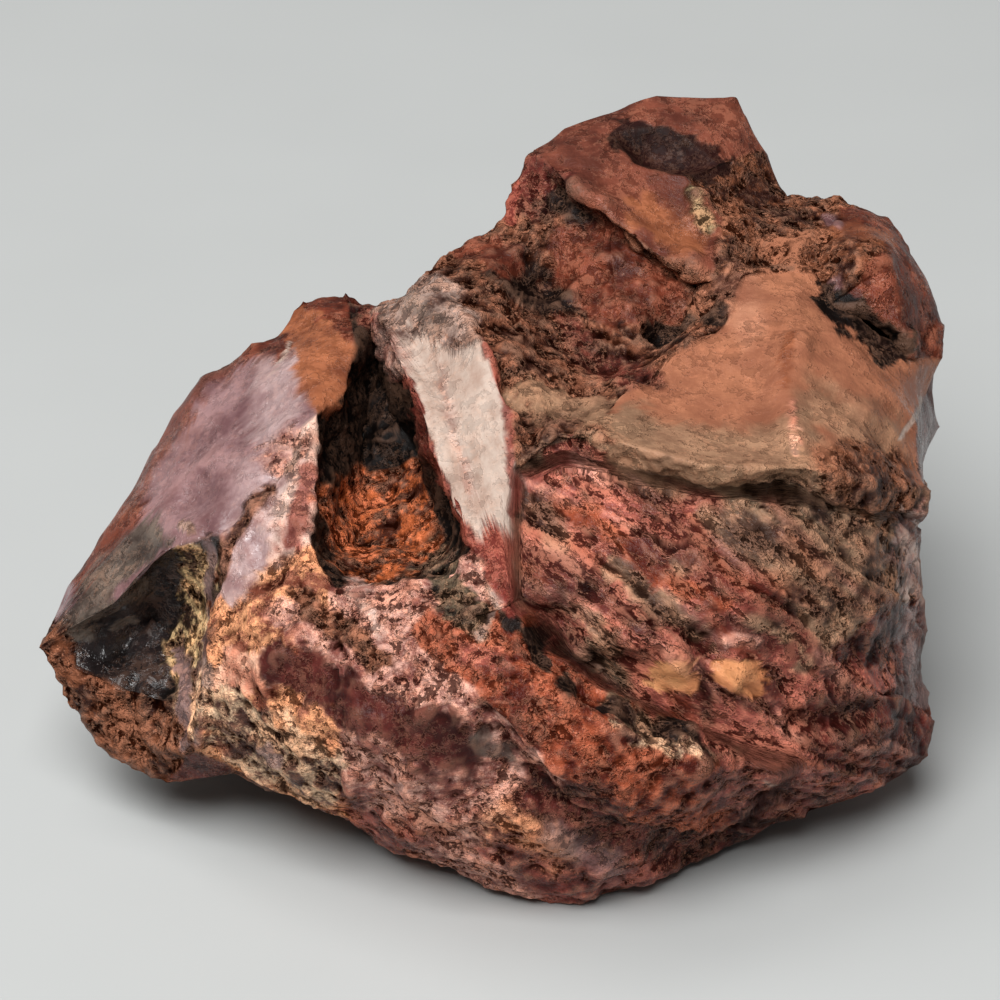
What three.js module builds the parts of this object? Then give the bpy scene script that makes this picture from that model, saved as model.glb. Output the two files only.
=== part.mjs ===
// A lump of rough jasper, about 50 mm across: one broken stone that rests on a small flat spot.
// It is drawn face-on, as a quilt of fracture facets between named corners, and then leaned back.
// Each facet is crowned or hollowed, cut into small triangles, and roughened by noise.
import * as THREE from 'three';

// Driving dimensions, in millimetres and degrees.
const LEAN = 30; // how far the drawn face leans back from upright
const REST_DROP = 18.7; // from the drawing's centre straight down to the flat spot
const EYE_DISTANCE = 300; // of the drawing's viewer, to whom what lies deeper looks smaller
const LONGEST_EDGE = 2.0; // of a triangle
const SOFTENING = { facet: 0.5, edge: 0.15 }; // how far a pass moves a point towards its neighbours
const SOFTENING_PASSES = 3;
const BEDS = { tilt: 37, step: 4.4, relief: 0.16 }; // their fall to the right, thickness and steps
const LUMPS = { size: 6.5, rough: 0.55, smooth: 0.3 }; // broad swells, and how far they stand out
const CHIPS = { size: 3.1, rough: 0.4, smooth: 0.1 }; // small breaks
const CARVED_REACH = 1.5; // how far a carved form fades out, in its own radius or width

// Corners in the drawing's frame: across to the right, up, and out towards the viewer.
const corners = {
  // the outline, clockwise from the left tip: flank, knuckle, notch, spur
  tip: [-26.2, -8.3, -2], flank1: [-24.8, -5.8, -3.5], flank2: [-22.4, -1.7, -5],
  flank3: [-19.5, 3.0, -6.5], flank4: [-16.8, 6.8, -7.5], flank5: [-12.6, 9.3, -8],
  knuckle1: [-11.2, 11.2, -9], knuckle2: [-8.6, 11.6, -9.5], notch: [-7.0, 10.8, -8],
  spur1: [-5.2, 11.7, -6], spur2: [-3.2, 13.5, -7], spur3: [0.3, 15.9, -9],
  // the crest and the knob on its right
  crest1: [0.5, 17.6, -10], crest2: [1.8, 19.7, -10.5], crest3: [3.3, 20.95, -11.5],
  crest4: [8.8, 22.6, -13], crest5: [13.4, 22.8, -13.5], crest6: [14.7, 19.6, -12.5],
  crest7: [16.2, 17.0, -12], knob1: [19.0, 17.0, -12], knob2: [21.8, 15.8, -11.5],
  knob3: [24.0, 12.2, -10.5], knob4: [24.9, 9.8, -9], knob5: [24.8, 7.9, -8],
  // down the right side to the heel
  side1: [24.0, 6.0, -8.5], side2: [24.9, 4.0, -10.5], side3: [23.1, 1.7, -8.5],
  side4: [23.1, -1.2, -5], side5: [23.6, -5.4, -5], side6: [23.5, -10.0, -4],
  heel1: [24.6, -12.3, -4], heel2: [24.2, -14.4, -3.5], heel3: [22.2, -15.7, -3],
  // the keel, from the right back to the left, and the toe under the tip
  keel1: [17.2, -17.8, -1], keel2: [13.8, -18.4, 0], keel3: [11.8, -18.9, 0.5],
  keel4: [9.6, -20.8, 0.5], keel5: [6.1, -22.1, 1], keel6: [2.8, -22.6, 1.5],
  keel7: [0.3, -21.8, 2], keel8: [-1.9, -20.7, 2], keel9: [-4.8, -19.8, 1.5],
  keel10: [-8.1, -17.6, 1.5], keel11: [-11.1, -16.8, 1], keel12: [-15.1, -15.6, 0],
  toe1: [-18.8, -16.0, -2], toe2: [-21.9, -14.3, -3.5], toe3: [-23.9, -11.2, -3.5],
  // the den, a black scar in the left end, with its lip and sill
  lip1: [-21.7, -5.9, 0.5], lip2: [-18.9, -2.9, 2], lip3: [-15.8, -1.9, 3.5],
  lip4: [-15.6, -5.0, 4.5], lip5: [-16.3, -9.2, 5.5], lip6: [-16.9, -13.8, 3],
  sill1: [-22.8, -9.9, -1.5], sill2: [-19.4, -11.1, 0.5], sill3: [-17.2, -11.1, 2.5],
  den1: [-19.4, -6.6, -4.5], den2: [-17.7, -8.6, -2],
  // the shoulder between the flank and the pocket
  shoulder: [-12.7, 1.4, 2.5], collar1: [-10.6, 9.8, -6.5], collar2: [-10.8, 7.1, -2],
  // the pocket's rim, down its left and along its bottom, and its floor
  rim1: [-8.2, 8.6, -3.5], rim2: [-8.7, 6.0, -1], rim3: [-10.3, 4.8, 1.5],
  rim4: [-10.3, 0.8, 4], rim5: [-10.6, -2.2, 6], rim6: [-9.5, -4.9, 7.5],
  rim7: [-5.0, -4.4, 9], rim8: [-2.8, -4.1, 9.5], rim9: [-1.5, -2.7, 10],
  pit1: [-6.7, 8.3, -8.5], pit2: [-7.8, 5.0, -7], pit3: [-7.9, 1.1, -4.5],
  pit4: [-8.1, -2.7, -0.5], pit5: [-4.7, -2.9, 1.5], pit6: [-3.4, -1.4, 1.5],
  pit7: [-4.6, 2.5, -3], pit8: [-5.9, 6.1, -6.5],
  // the pale vein, a spearhead between the pocket and the hollow
  vein1: [-6.8, 10.1, -3], vein2: [-6.1, 8.6, 1], vein3: [-4.8, 5.8, 4.5],
  vein4: [-3.9, 2.5, 7], vein5: [-2.6, -0.4, 9], veintip: [0.8, -5.7, 12],
  vein6: [0.8, 1.7, 9.4], vein7: [0.5, 5.0, 7.2], vein8: [-0.9, 8.6, 4.2],
  vein9: [-2.4, 10.7, 0.5], veinhead: [-4.2, 11.2, -1.5],
  // the hollow under the crest, and the crest's front ridge
  hollow1: [3.1, 15.8, -8], hollow2: [2.6, 12.3, -6], hollow3: [3.9, 8.1, -1],
  hollow4: [3.6, 5.1, 4.4], hollow5: [6.1, 14.7, -5.8], hollow6: [11.1, 11.7, -5.5],
  hollow7: [10.1, 9.2, -4], hollow8: [6.7, 10.0, -3],
  ridge1: [2.9, 18.6, -8], ridge2: [5.8, 16.0, -5], ridge3: [8.9, 13.6, -4],
  ridge4: [11.9, 12.5, -4], scar1: [6.3, 20.6, -10.3], scar2: [7.5, 18.9, -8.2],
  scar3: [10.4, 18.2, -7.6], scar4: [12.4, 18.8, -9], scar5: [9.4, 21.0, -10.6],
  saddle1: [12.5, 15.8, -6.5], saddle2: [15.6, 15.3, -8],
  // the knob's front, over a small cave
  cheek1: [17.6, 12.6, -5.3], cheek2: [19.3, 14.7, -7.5], cheek3: [21.9, 13.2, -4.5],
  cheek4: [22.6, 9.4, -3.6], cheek5: [18.4, 10.8, -4.2], cheek6: [22.9, 8.0, -4.5],
  cheek7: [20.3, 10.9, -3.9], cave: [20.5, 9.6, -8.5],
  // the slab, which looks up, its ledge, and the shaded strip under the ledge
  slab1: [6.1, 5.3, 6], slab2: [9.7, 8.1, 2], slab3: [12.8, 9.9, -0.5],
  slab4: [13.6, 12.3, -4.5], slab5: [16.9, 9.2, 0.5], slab6: [17.2, 5.6, 5],
  slab7: [20.3, 8.7, -2.3], slab8: [20.7, 5.0, 3], slab9: [23.1, 4.9, -2],
  ledge1: [3.1, 3.8, 9], ledge2: [6.7, 3.2, 10], ledge3: [11.4, 1.9, 11],
  ledge4: [17.2, 1.7, 10.5], ledge5: [20.7, 1.0, 7.5], ledge6: [23.6, 0.6, 1.5],
  under1: [3.6, 2.5, 8.5], under2: [7.2, 1.6, 9], under3: [11.7, 0.6, 9.5],
  under4: [16.9, 0.3, 9], under5: [20.8, -0.6, 6], under6: [23.7, -0.8, 0.5],
  // the bedded face, down to the groove
  bed1: [3.9, -3.3, 11.5], bed2: [9.4, -4.2, 12], bed3: [15.6, -5.0, 10.5],
  bed4: [21.7, -5.6, 5], bed5: [7.5, -8.3, 12.5], bed6: [12.2, -9.2, 11.5],
  bed7: [17.2, -10.0, 8.5], bed8: [21.9, -10.6, 3.5], bed9: [16.4, -14.7, 7],
  bed10: [20.8, -14.2, 3.5], groove1: [3.1, -8.2, 10.6], groove2: [6.8, -11.0, 10],
  groove3: [11.9, -13.4, 8.8],
  // the rust band, and the crevice under it
  band1: [-3.3, -6.9, 12], band2: [1.7, -9.6, 13.6], band3: [6.1, -12.6, 13.4],
  band4: [11.4, -15.2, 11], band5: [-1.1, -11.4, 13.6], band6: [2.8, -15.2, 13.0],
  band7: [7.0, -16.8, 11.4], band8: [10.6, -18.6, 5.5],
  crevice1: [1.4, -15.1, 10.4], crevice2: [4.9, -17.2, 8.6], crevice3: [8.1, -18.3, 6.8],
  // the belly and the gritty patch on its left
  belly1: [-5.8, -8.6, 11], belly2: [-5.0, -12.5, 11.5], belly3: [-5.0, -16.4, 8.5],
  belly4: [-0.3, -16.9, 10], belly5: [3.4, -19.6, 7.5], belly6: [7.6, -20.0, 5.2],
  belly7: [-2.5, -19.2, 5.5],
  grit1: [-8.9, -7.8, 9.5], grit2: [-13.1, -7.8, 8], grit3: [-13.6, -12.2, 7],
  grit4: [-9.2, -12.5, 9.5], grit5: [-12.5, -15.1, 5], grit6: [-8.6, -16.1, 6],
  // the foot, and the back
  foot1: [-5, -19.3, -4], foot2: [-8, -14.2, -13.5], foot3: [2, -12.2, -17],
  foot4: [12, -14.2, -13.5], foot5: [12, -19.5, -4],
  rear1: [-22, -6, -9], rear2: [-17, -10, -12], rear3: [-14, 2, -15], rear4: [-8, -5, -18],
  rear5: [-4, 8, -16], rear6: [3, 0, -20], rear7: [8, 12, -19], rear8: [14, 2, -19],
  rear9: [20, 8, -15], rear10: [19, -6, -15], rear11: [13, 18, -17],
  rear12: [-14, -14.5, -6], rear13: [19, -14.5, -7],
};

// Facets: [finish, crown in mm (minus is hollow), corners anticlockwise from outside].
const facets = [
  // the left end
  ['smooth', 0.8, 'tip lip1 lip2 lip3 shoulder rim3 collar2 flank5 flank4 flank3 flank2 flank1'],
  ['smooth', 0.3, 'collar2 rim3 rim2 rim1 collar1 flank5'],
  ['smooth', 0, 'flank5 collar1 knuckle1'],
  ['smooth', 0.3, 'collar1 rim1 knuckle2 knuckle1'],
  ['rough', 0, 'rim1 notch knuckle2'],
  ['smooth', -0.4, 'tip sill1 den1 lip1'],
  ['smooth', -0.3, 'lip1 den1 lip2'],
  ['smooth', -0.8, 'lip2 den1 den2 lip4 lip3'],
  ['rough', -0.3, 'sill1 sill2 den2 den1'],
  ['rough', 0, 'den2 sill3 lip5 lip4'],
  ['rough', 0, 'den2 sill2 sill3'],
  ['smooth', 0, 'sill3 lip6 lip5'],
  ['rough', 0.3, 'tip toe3 toe2 sill2 sill1'],
  ['rough', 0.3, 'sill2 toe2 toe1 lip6 sill3'],
  ['smooth', 0, 'lip6 toe1 keel12'],
  ['rough', 0.3, 'shoulder lip3 lip4 rim5 rim4 rim3'],
  ['rough', 0.2, 'lip4 grit2 grit1 rim6 rim5'],
  // the pocket
  ['rough', -0.3, 'rim1 rim2 pit2 pit1'],
  ['rough', -0.3, 'rim2 rim3 rim4 pit3 pit2'],
  ['rough', -0.3, 'rim4 rim5 pit4 pit3'],
  ['rough', -0.3, 'rim5 rim6 rim7 pit5 pit4'],
  ['rough', -0.3, 'rim7 rim8 rim9 pit6 pit5'],
  ['rough', -0.3, 'rim9 vein5 vein4 pit7 pit6'],
  ['rough', -0.3, 'vein4 vein3 pit8 pit7'],
  ['rough', -0.3, 'vein3 vein2 vein1 pit1 pit8'],
  ['rough', 0, 'vein1 notch rim1 pit1'],
  ['rough', -0.3, 'pit1 pit2 pit7 pit8'],
  ['rough', 0, 'pit2 pit3 pit7'],
  ['rough', -0.4, 'pit3 pit4 pit5 pit6 pit7'],
  // the vein
  ['smooth', 0.3, 'vein1 vein2 vein3 vein4 vein5 rim9 veintip vein6 vein7 vein8 vein9 veinhead'],
  ['rough', 0, 'vein1 veinhead spur1 notch'],
  ['rough', 0.2, 'veinhead vein9 spur2 spur1'],
  // the hollow
  ['rough', -0.3, 'spur2 vein9 hollow2 hollow1 spur3'],
  ['rough', -0.4, 'vein9 vein8 vein7 hollow4 hollow3 hollow2'],
  ['rough', 0, 'vein7 vein6 ledge1 hollow4'],
  ['rough', -0.3, 'hollow2 hollow3 hollow8 hollow5 hollow1'],
  ['rough', -0.3, 'hollow3 hollow4 slab1 slab2 hollow7 hollow8'],
  ['smooth', 0.4, 'hollow5 hollow8 hollow7 hollow6'],
  // the crest
  ['rough', 0, 'spur3 hollow1 ridge1 crest2 crest1'],
  ['rough', -0.3, 'hollow1 hollow5 ridge2 ridge1'],
  ['rough', -0.2, 'hollow5 hollow6 ridge4 ridge3 ridge2'],
  ['smooth', 0.3, 'ridge1 ridge2 scar2 scar1 crest3 crest2'],
  ['smooth', -0.3, 'ridge2 ridge3 ridge4 saddle1 scar3 scar2'],
  ['smooth', -1.3, 'scar1 scar2 scar3 scar4 scar5'],
  ['smooth', 0.2, 'scar1 scar5 crest5 crest4 crest3'],
  ['smooth', 0.3, 'scar5 scar4 crest6 crest5'],
  ['smooth', -0.3, 'scar3 saddle1 saddle2 crest7 crest6 scar4'],
  // the knob and its cave
  ['rough', -0.3, 'ridge4 slab4 cheek1 saddle2 saddle1'],
  ['rough', 0, 'saddle2 cheek1 cheek2 knob1 crest7'],
  ['smooth', 0.3, 'cheek2 cheek3 knob2 knob1'],
  ['smooth', 0.6, 'cheek3 cheek4 knob4 knob3 knob2'],
  ['rough', 0.3, 'cheek1 cheek5 cheek3 cheek2'],
  ['smooth', 0, 'cheek5 cheek7 cheek3'],
  ['smooth', 0, 'cheek7 cheek4 cheek3'],
  ['rough', 0, 'cheek5 cave cheek7'],
  ['rough', 0, 'cave cheek4 cheek7'],
  ['rough', 0, 'cheek5 slab7 cheek6 cave'],
  ['rough', 0, 'cave cheek6 cheek4'],
  ['rough', 0.2, 'cheek4 cheek6 knob5 knob4'],
  // the slab
  ['smooth', 0, 'hollow4 ledge1 ledge2 slab1'],
  ['smooth', -0.5, 'slab1 ledge2 ledge3 ledge4 slab6 slab5 slab3 slab2'],
  ['smooth', 0.3, 'slab3 slab5 cheek5 cheek1 slab4'],
  ['rough', -0.3, 'slab2 slab3 slab4 ridge4 hollow6 hollow7'],
  ['smooth', 0.2, 'slab5 slab6 slab8 slab7 cheek5'],
  ['smooth', 0.2, 'slab6 ledge4 ledge5 slab8'],
  ['smooth', 0, 'slab8 ledge5 ledge6 slab9'],
  ['smooth', 0.2, 'slab8 slab9 side1 knob5 cheek6 slab7'],
  ['smooth', 0, 'slab9 ledge6 side3 side2 side1'],
  ['rough', 0, 'vein6 under1 ledge1'],
  ['rough', 0, 'ledge1 under1 under2 ledge2'],
  ['rough', 0, 'ledge2 under2 under3 ledge3'],
  ['rough', 0, 'ledge3 under3 under4 ledge4'],
  ['rough', 0, 'ledge4 under4 under5 ledge5'],
  ['rough', 0, 'ledge5 under5 under6 ledge6'],
  ['rough', 0, 'ledge6 under6 side4 side3'],
  // the bedded face
  ['bedded', 0, 'vein6 veintip bed1 under1'],
  ['bedded', 0.2, 'under1 bed1 bed2 under2'],
  ['bedded', 0, 'under2 bed2 under3'],
  ['bedded', 0.2, 'under3 bed2 bed3 under4'],
  ['bedded', 0.2, 'under4 bed3 bed4 under5'],
  ['bedded', 0.2, 'under5 bed4 side5 side4 under6'],
  ['bedded', 0.2, 'bed1 veintip groove1 bed5 bed2'],
  ['bedded', 0.2, 'bed2 bed5 bed6 bed3'],
  ['bedded', 0.2, 'bed3 bed6 bed7 bed4'],
  ['bedded', 0.2, 'bed4 bed7 bed8 side6 side5'],
  ['bedded', 0, 'bed5 groove1 groove2 groove3 bed6'],
  ['bedded', 0.2, 'bed6 groove3 bed9 bed7'],
  ['bedded', 0.2, 'bed7 bed9 bed10 bed8'],
  ['bedded', 0, 'bed8 bed10 heel2 heel1 side6'],
  ['bedded', 0.4, 'bed9 keel2 keel1 heel3 bed10'],
  ['bedded', 0, 'bed10 heel3 heel2'],
  // the rust band and its crevice
  ['rough', 0, 'rim7 band1 veintip rim9 rim8'],
  ['rough', 0, 'veintip band1 band2 groove1'],
  ['rough', 0, 'groove1 band2 band3 groove2'],
  ['rough', 0, 'groove2 band3 band4 groove3'],
  ['rough', 0, 'band1 band5 band2'],
  ['rough', 0.3, 'band2 band5 band6 band3'],
  ['rough', 0.3, 'band3 band6 band7 band4'],
  ['rough', 0.3, 'band4 band7 band8 keel3 keel2'],
  ['rough', 0, 'groove3 band4 keel2 bed9'],
  ['rough', 0, 'band5 crevice1 crevice2 band6'],
  ['rough', 0, 'band6 crevice2 crevice3 band7'],
  ['rough', 0, 'band7 crevice3 band8'],
  // the belly
  ['rough', 0.2, 'rim6 grit1 belly1 band1 rim7'],
  ['rough', 0.3, 'belly1 belly2 band5 band1'],
  ['rough', 0.3, 'belly2 belly3 belly4 crevice1 band5'],
  ['rough', 0, 'crevice1 belly4 belly5 crevice2'],
  ['rough', 0, 'crevice2 belly5 belly6 crevice3'],
  ['rough', 0, 'crevice3 belly6 keel4 keel3 band8'],
  ['rough', 0.3, 'belly3 belly7 belly4'],
  ['rough', 0.3, 'belly4 belly7 keel7 belly5'],
  ['rough', 0.3, 'belly3 keel10 keel9 belly7'],
  ['rough', 0.2, 'belly7 keel9 keel8 keel7'],
  ['rough', 0.5, 'belly5 keel7 keel6 keel5 belly6'],
  ['rough', 0.3, 'belly6 keel5 keel4'],
  // the gritty patch
  ['rough', 0.2, 'lip4 lip5 grit3 grit2'],
  ['rough', 0.2, 'lip5 lip6 keel12 grit3'],
  ['rough', 0.3, 'grit2 grit3 grit4 grit1'],
  ['rough', 0.3, 'grit1 grit4 belly2 belly1'],
  ['rough', 0, 'grit3 keel12 grit5'],
  ['rough', 0.3, 'grit3 grit5 grit6 grit4'],
  ['rough', 0.3, 'grit5 keel12 keel11 keel10 grit6'],
  ['rough', 0.3, 'grit4 grit6 belly3 belly2'],
  ['rough', 0, 'grit6 keel10 belly3'],
  // the foot and the underside
  ['smooth', 0.8, 'keel6 keel7 foot1 foot2 foot3 foot4 foot5 keel4 keel5'],
  ['rough', 0.3, 'keel7 keel8 keel9 foot1'],
  ['rough', 0.5, 'keel9 keel10 rear12 foot2 foot1'],
  ['rough', 0.5, 'keel10 keel11 keel12 rear12'],
  ['smooth', 0.5, 'keel12 toe1 toe2 rear2 rear12'],
  ['smooth', 0.5, 'heel2 heel3 keel1 rear13'],
  ['rough', 0.5, 'keel1 keel2 keel3 keel4 foot5 rear13'],
  ['rough', 0.5, 'rear13 foot5 foot4 rear10'],
  // the back
  ['smooth', 0.5, 'toe2 toe3 tip rear1 rear2'],
  ['smooth', 0.5, 'tip flank1 flank2 rear1'],
  ['smooth', 0.8, 'flank2 flank3 flank4 rear3 rear1'],
  ['rough', 0.8, 'rear1 rear3 rear4 rear2'],
  ['rough', 0.8, 'rear2 rear4 foot2 rear12'],
  ['rough', -0.5, 'flank4 flank5 knuckle1 knuckle2 notch rear5 rear3'],
  ['rough', -0.4, 'notch spur1 spur2 spur3 rear5'],
  ['smooth', -0.8, 'spur3 crest1 crest2 crest3 rear7 rear5'],
  ['smooth', 0.6, 'crest3 crest4 crest5 rear11 rear7'],
  ['smooth', 0.3, 'crest5 crest6 crest7 rear11'],
  ['rough', 0.3, 'crest7 knob1 knob2 knob3 rear9 rear11'],
  ['smooth', 0.6, 'knob3 knob4 knob5 side1 side2 rear9'],
  ['bedded', 0.8, 'rear11 rear9 rear8 rear7'],
  ['smooth', 0.6, 'side2 side3 side4 side5 rear10 rear9'],
  ['rough', 0.6, 'side5 side6 heel1 heel2 rear13 rear10'],
  ['bedded', 0.8, 'rear9 rear10 rear8'],
  ['rough', 0.8, 'foot4 foot3 rear6 rear8 rear10'],
  ['rough', 0.8, 'foot3 foot2 rear4 rear6'],
  ['bedded', 0.8, 'rear4 rear3 rear5 rear6'],
  ['bedded', -0.8, 'rear6 rear5 rear7 rear8'],
];

// Hollows and bumps: [across, up, out, radius, depth in mm (minus is a bump)].
const dents = [
  [1.6, 12.0, -5.5, 1.7, 1.1], [9.3, 9.4, -3.2, 1.1, 1.1], [11.2, 9.9, -3, 0.9, 0.8],
  [8.0, 6.6, 2.5, 1.3, 0.8], [5.4, 9.0, 0, 1.5, 0.9], [4.6, 6.4, 3, 1.1, 0.7],
  [2.5, 17.3, -8, 1.5, 0.9], [11.2, 15.2, -5, 1.2, 0.5], [15.3, 14.0, -6, 1.0, 0.8],
  [17.6, 13.4, -6, 1.0, 0.7], [14.3, 12.9, -6, 0.9, 0.6], [20.6, 9.6, -6, 1.3, 1.0],
  [3.2, -7.4, 12, 1.5, 0.9], [5.3, -10.3, 12, 1.5, 0.9], [8.4, -12.7, 11, 1.4, 0.8],
  [-17.4, 0.3, 0.5, 1.6, 0.5], [-14.2, 4.6, -1, 2.2, 0.4], [-20.2, -3.4, -1, 1.5, 0.4],
  [20.9, -8.4, 6, 1.4, 0.7], [-11.2, -10.6, 9, 1.6, 0.6], [-7.2, -15.0, 9, 1.5, 0.6],
  [9.7, -9.7, 12, 1.1, -0.7], [13.5, -10.0, 11, 1.0, -0.6], [-4.1, -15.4, 10, 2.2, -0.7],
  [6.6, 11.6, -3, 1.8, -0.6], [20.6, 14.2, -6, 1.8, -0.5], [-12.4, -9.6, 8, 1.6, -0.5],
  [8, 9, -19.5, 4.5, 1.3], [-9, 1, -16, 4, 1.2], [17, 0, -17.5, 4, 1.1], [2, -4, -19.5, 3.5, -0.8],
  [-17, 4, -10, 3, -0.6], [12, -9, -17, 3.5, 1.1], [-13, -9, -12, 3, 0.9], [7, 17, -16, 3, -0.7],
];

// Cracks and ribs: [width, depth in mm (minus is a rib), the points that it runs through].
const seams = [
  [0.9, 0.8, [[-0.5, 10.4, 1], [0.6, 7.6, 4], [1.4, 4.6, 6.5], [1.8, 1.6, 8.5]]],
  [0.9, 0.8, [[11.4, -7.8, 12], [11.6, -10.0, 12], [11.4, -12.2, 11]]],
  [0.9, -0.5, [[16.6, 8.8, 1], [15.9, 6.4, 4], [16.6, 3.2, 8]]],
  [0.9, -0.25, [[18.6, 8.6, -1], [21.6, 6.4, 0], [23.6, 4.4, -1]]],
  [0.8, 0.25, [[17.8, 6.4, 3], [20.6, 4.2, 4], [23.2, 1.8, 1]]],
  [0.9, 0.7, [[17.0, -12.6, 8], [19.6, -12.3, 6], [22.4, -11.2, 3]]],
  [0.8, -0.5, [[2.4, 18.6, -8], [6.2, 16.6, -5], [11.2, 13.3, -4]]],
  [0.7, -0.5, [[11.2, 17.0, -7], [10.9, 15.2, -5], [10.8, 13.6, -4]]],
  [0.8, -0.6, [[-16.9, -6.2, 4], [-17.0, -9.6, 5], [-17.3, -13.2, 3]]],
  [1.5, 1.1, [[-15, 5, -12], [-9, 3, -16], [0, 5, -18.5], [9, 3, -20], [18, 5, -17], [23, 0, -10]]],
  [1.3, -0.8, [[-12, 1, -15], [-2, 1, -19], [8, -1, -20], [18, 0, -17]]],
  [1.2, 0.9, [[11, 21, -16], [12, 12, -18.5], [17, 4, -17.5], [19, -6, -15]]],
];

// A place in the drawing's frame, in true millimetres.
const at = ([across, up, out]) => {
  const spread = 1 - out / EYE_DISTANCE;
  return new THREE.Vector3(across * spread, up * spread, out);
};

// A random number from 0 to 1 for each cell of space, the same on every run.
function cellValue(i, j, k) {
  const mixed = Math.sin(i * 127.1 + j * 311.7 + k * 74.7) * 43758.5453;
  return mixed - Math.floor(mixed);
}

// Noise from -1 to 1 that changes smoothly from cell to cell.
function noise(p, size) {
  const cell = p.clone().divideScalar(size);
  const low = cell.clone().floor();
  const ease = cell.sub(low).toArray().map((t) => t * t * (3 - 2 * t));
  let sum = 0;
  for (const i of [0, 1]) {
    for (const j of [0, 1]) {
      for (const k of [0, 1]) {
        const share = [i, j, k].reduce((s, bit, n) => s * (bit ? ease[n] : 1 - ease[n]), 1);
        sum += share * cellValue(low.x + i, low.y + j, low.z + k);
      }
    }
  }
  return 2 * sum - 1;
}

// The facets as one net: each is a fan of triangles round its middle, which its crown raises.
// Every point knows where it is, how rough and how bedded the stone is there, and whether it is on an edge.
function fanFacets() {
  const names = Object.keys(corners);
  const points = names.map((name) => ({ place: at(corners[name]), rough: 0, bedded: 0, edge: 1, uses: 0 }));
  const triangles = [];
  for (const [finish, crown, loop] of facets) {
    const ring = loop.split(' ').map((name) => names.indexOf(name));
    const middle = new THREE.Vector3();
    ring.forEach((n) => middle.addScaledVector(points[n].place, 1 / ring.length));
    const outward = new THREE.Vector3();
    ring.forEach((n, i) => {
      const next = points[ring[(i + 1) % ring.length]].place.clone().sub(middle);
      outward.add(points[n].place.clone().sub(middle).cross(next));
    });
    middle.addScaledVector(outward.normalize(), crown);
    const rough = finish === 'rough' ? 1 : 0;
    const bedded = finish === 'bedded' ? 1 : 0;
    for (const n of ring) {
      points[n].uses += 1;
      points[n].rough += (rough - points[n].rough) / points[n].uses;
      points[n].bedded += (bedded - points[n].bedded) / points[n].uses;
    }
    points.push({ place: middle, rough, bedded, edge: 0 });
    ring.forEach((n, i) => triangles.push([n, ring[(i + 1) % ring.length], points.length - 1]));
  }
  return { points, triangles };
}

function halfway(a, b) {
  return {
    place: a.place.clone().lerp(b.place, 0.5),
    rough: (a.rough + b.rough) / 2,
    bedded: (a.bedded + b.bedded) / 2,
    edge: Math.min(a.edge, b.edge),
  };
}

// Halves every edge that is too long, and the triangles on both sides of it, until none is left.
function splitLongEdges({ points, triangles }) {
  let split = triangles;
  let halves = new Map();
  const gap = (a, b) => points[a].place.distanceTo(points[b].place);
  const halfOf = (a, b) => {
    if (gap(a, b) <= LONGEST_EDGE) {
      return null;
    }
    const key = `${Math.min(a, b)} ${Math.max(a, b)}`;
    if (!halves.has(key)) {
      halves.set(key, points.length);
      points.push(halfway(points[a], points[b]));
    }
    return halves.get(key);
  };
  do {
    halves = new Map();
    split = split.flatMap((triangle) => splitTriangle(triangle, halfOf, gap));
  } while (halves.size > 0);
  return { points, triangles: split };
}

// One triangle as one to four, depending on which of its edges have been halved.
function splitTriangle([a, b, c], halfOf, gap) {
  const [ab, bc, ca] = [halfOf(a, b), halfOf(b, c), halfOf(c, a)];
  const halved = [ab, bc, ca].filter((half) => half !== null).length;
  if (halved === 3) {
    return [[a, ab, ca], [b, bc, ab], [c, ca, bc], [ab, bc, ca]];
  }
  if (halved === 0) {
    return [[a, b, c]];
  }
  if (ab === null) {
    return splitTriangle([b, c, a], halfOf, gap);
  }
  if (halved === 1) {
    return [[a, ab, c], [ab, b, c]];
  }
  if (bc === null) {
    return splitTriangle([c, a, b], halfOf, gap);
  }
  if (gap(a, bc) < gap(ab, c)) {
    return [[ab, b, bc], [a, ab, bc], [a, bc, c]];
  }
  return [[ab, b, bc], [a, ab, c], [ab, bc, c]];
}

// For each point, the points at the other ends of its edges.
function neighboursOf({ points, triangles }) {
  const near = points.map(() => new Set());
  for (const [a, b, c] of triangles) {
    near[a].add(b).add(c);
    near[b].add(c).add(a);
    near[c].add(a).add(b);
  }
  return near;
}

// Moves every point part of the way to the middle of its neighbours, and less on the facets' edges.
function soften({ points, triangles }) {
  const near = neighboursOf({ points, triangles });
  let softened = points;
  for (let pass = 0; pass < SOFTENING_PASSES; pass += 1) {
    softened = softened.map((point, n) => {
      const middle = new THREE.Vector3();
      near[n].forEach((m) => middle.addScaledVector(softened[m].place, 1 / near[n].size));
      const step = THREE.MathUtils.lerp(SOFTENING.facet, SOFTENING.edge, point.edge);
      return { ...point, place: point.place.clone().lerp(middle, step) };
    });
  }
  return { points: softened, triangles };
}

// Outward directions at the points, from the triangles that meet there.
function outwardAt({ points, triangles }) {
  const outward = points.map(() => new THREE.Vector3());
  for (const [a, b, c] of triangles) {
    const along = points[b].place.clone().sub(points[a].place);
    const face = along.cross(points[c].place.clone().sub(points[a].place));
    [a, b, c].forEach((n) => outward[n].add(face));
  }
  return outward.map((v) => v.normalize());
}

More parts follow.
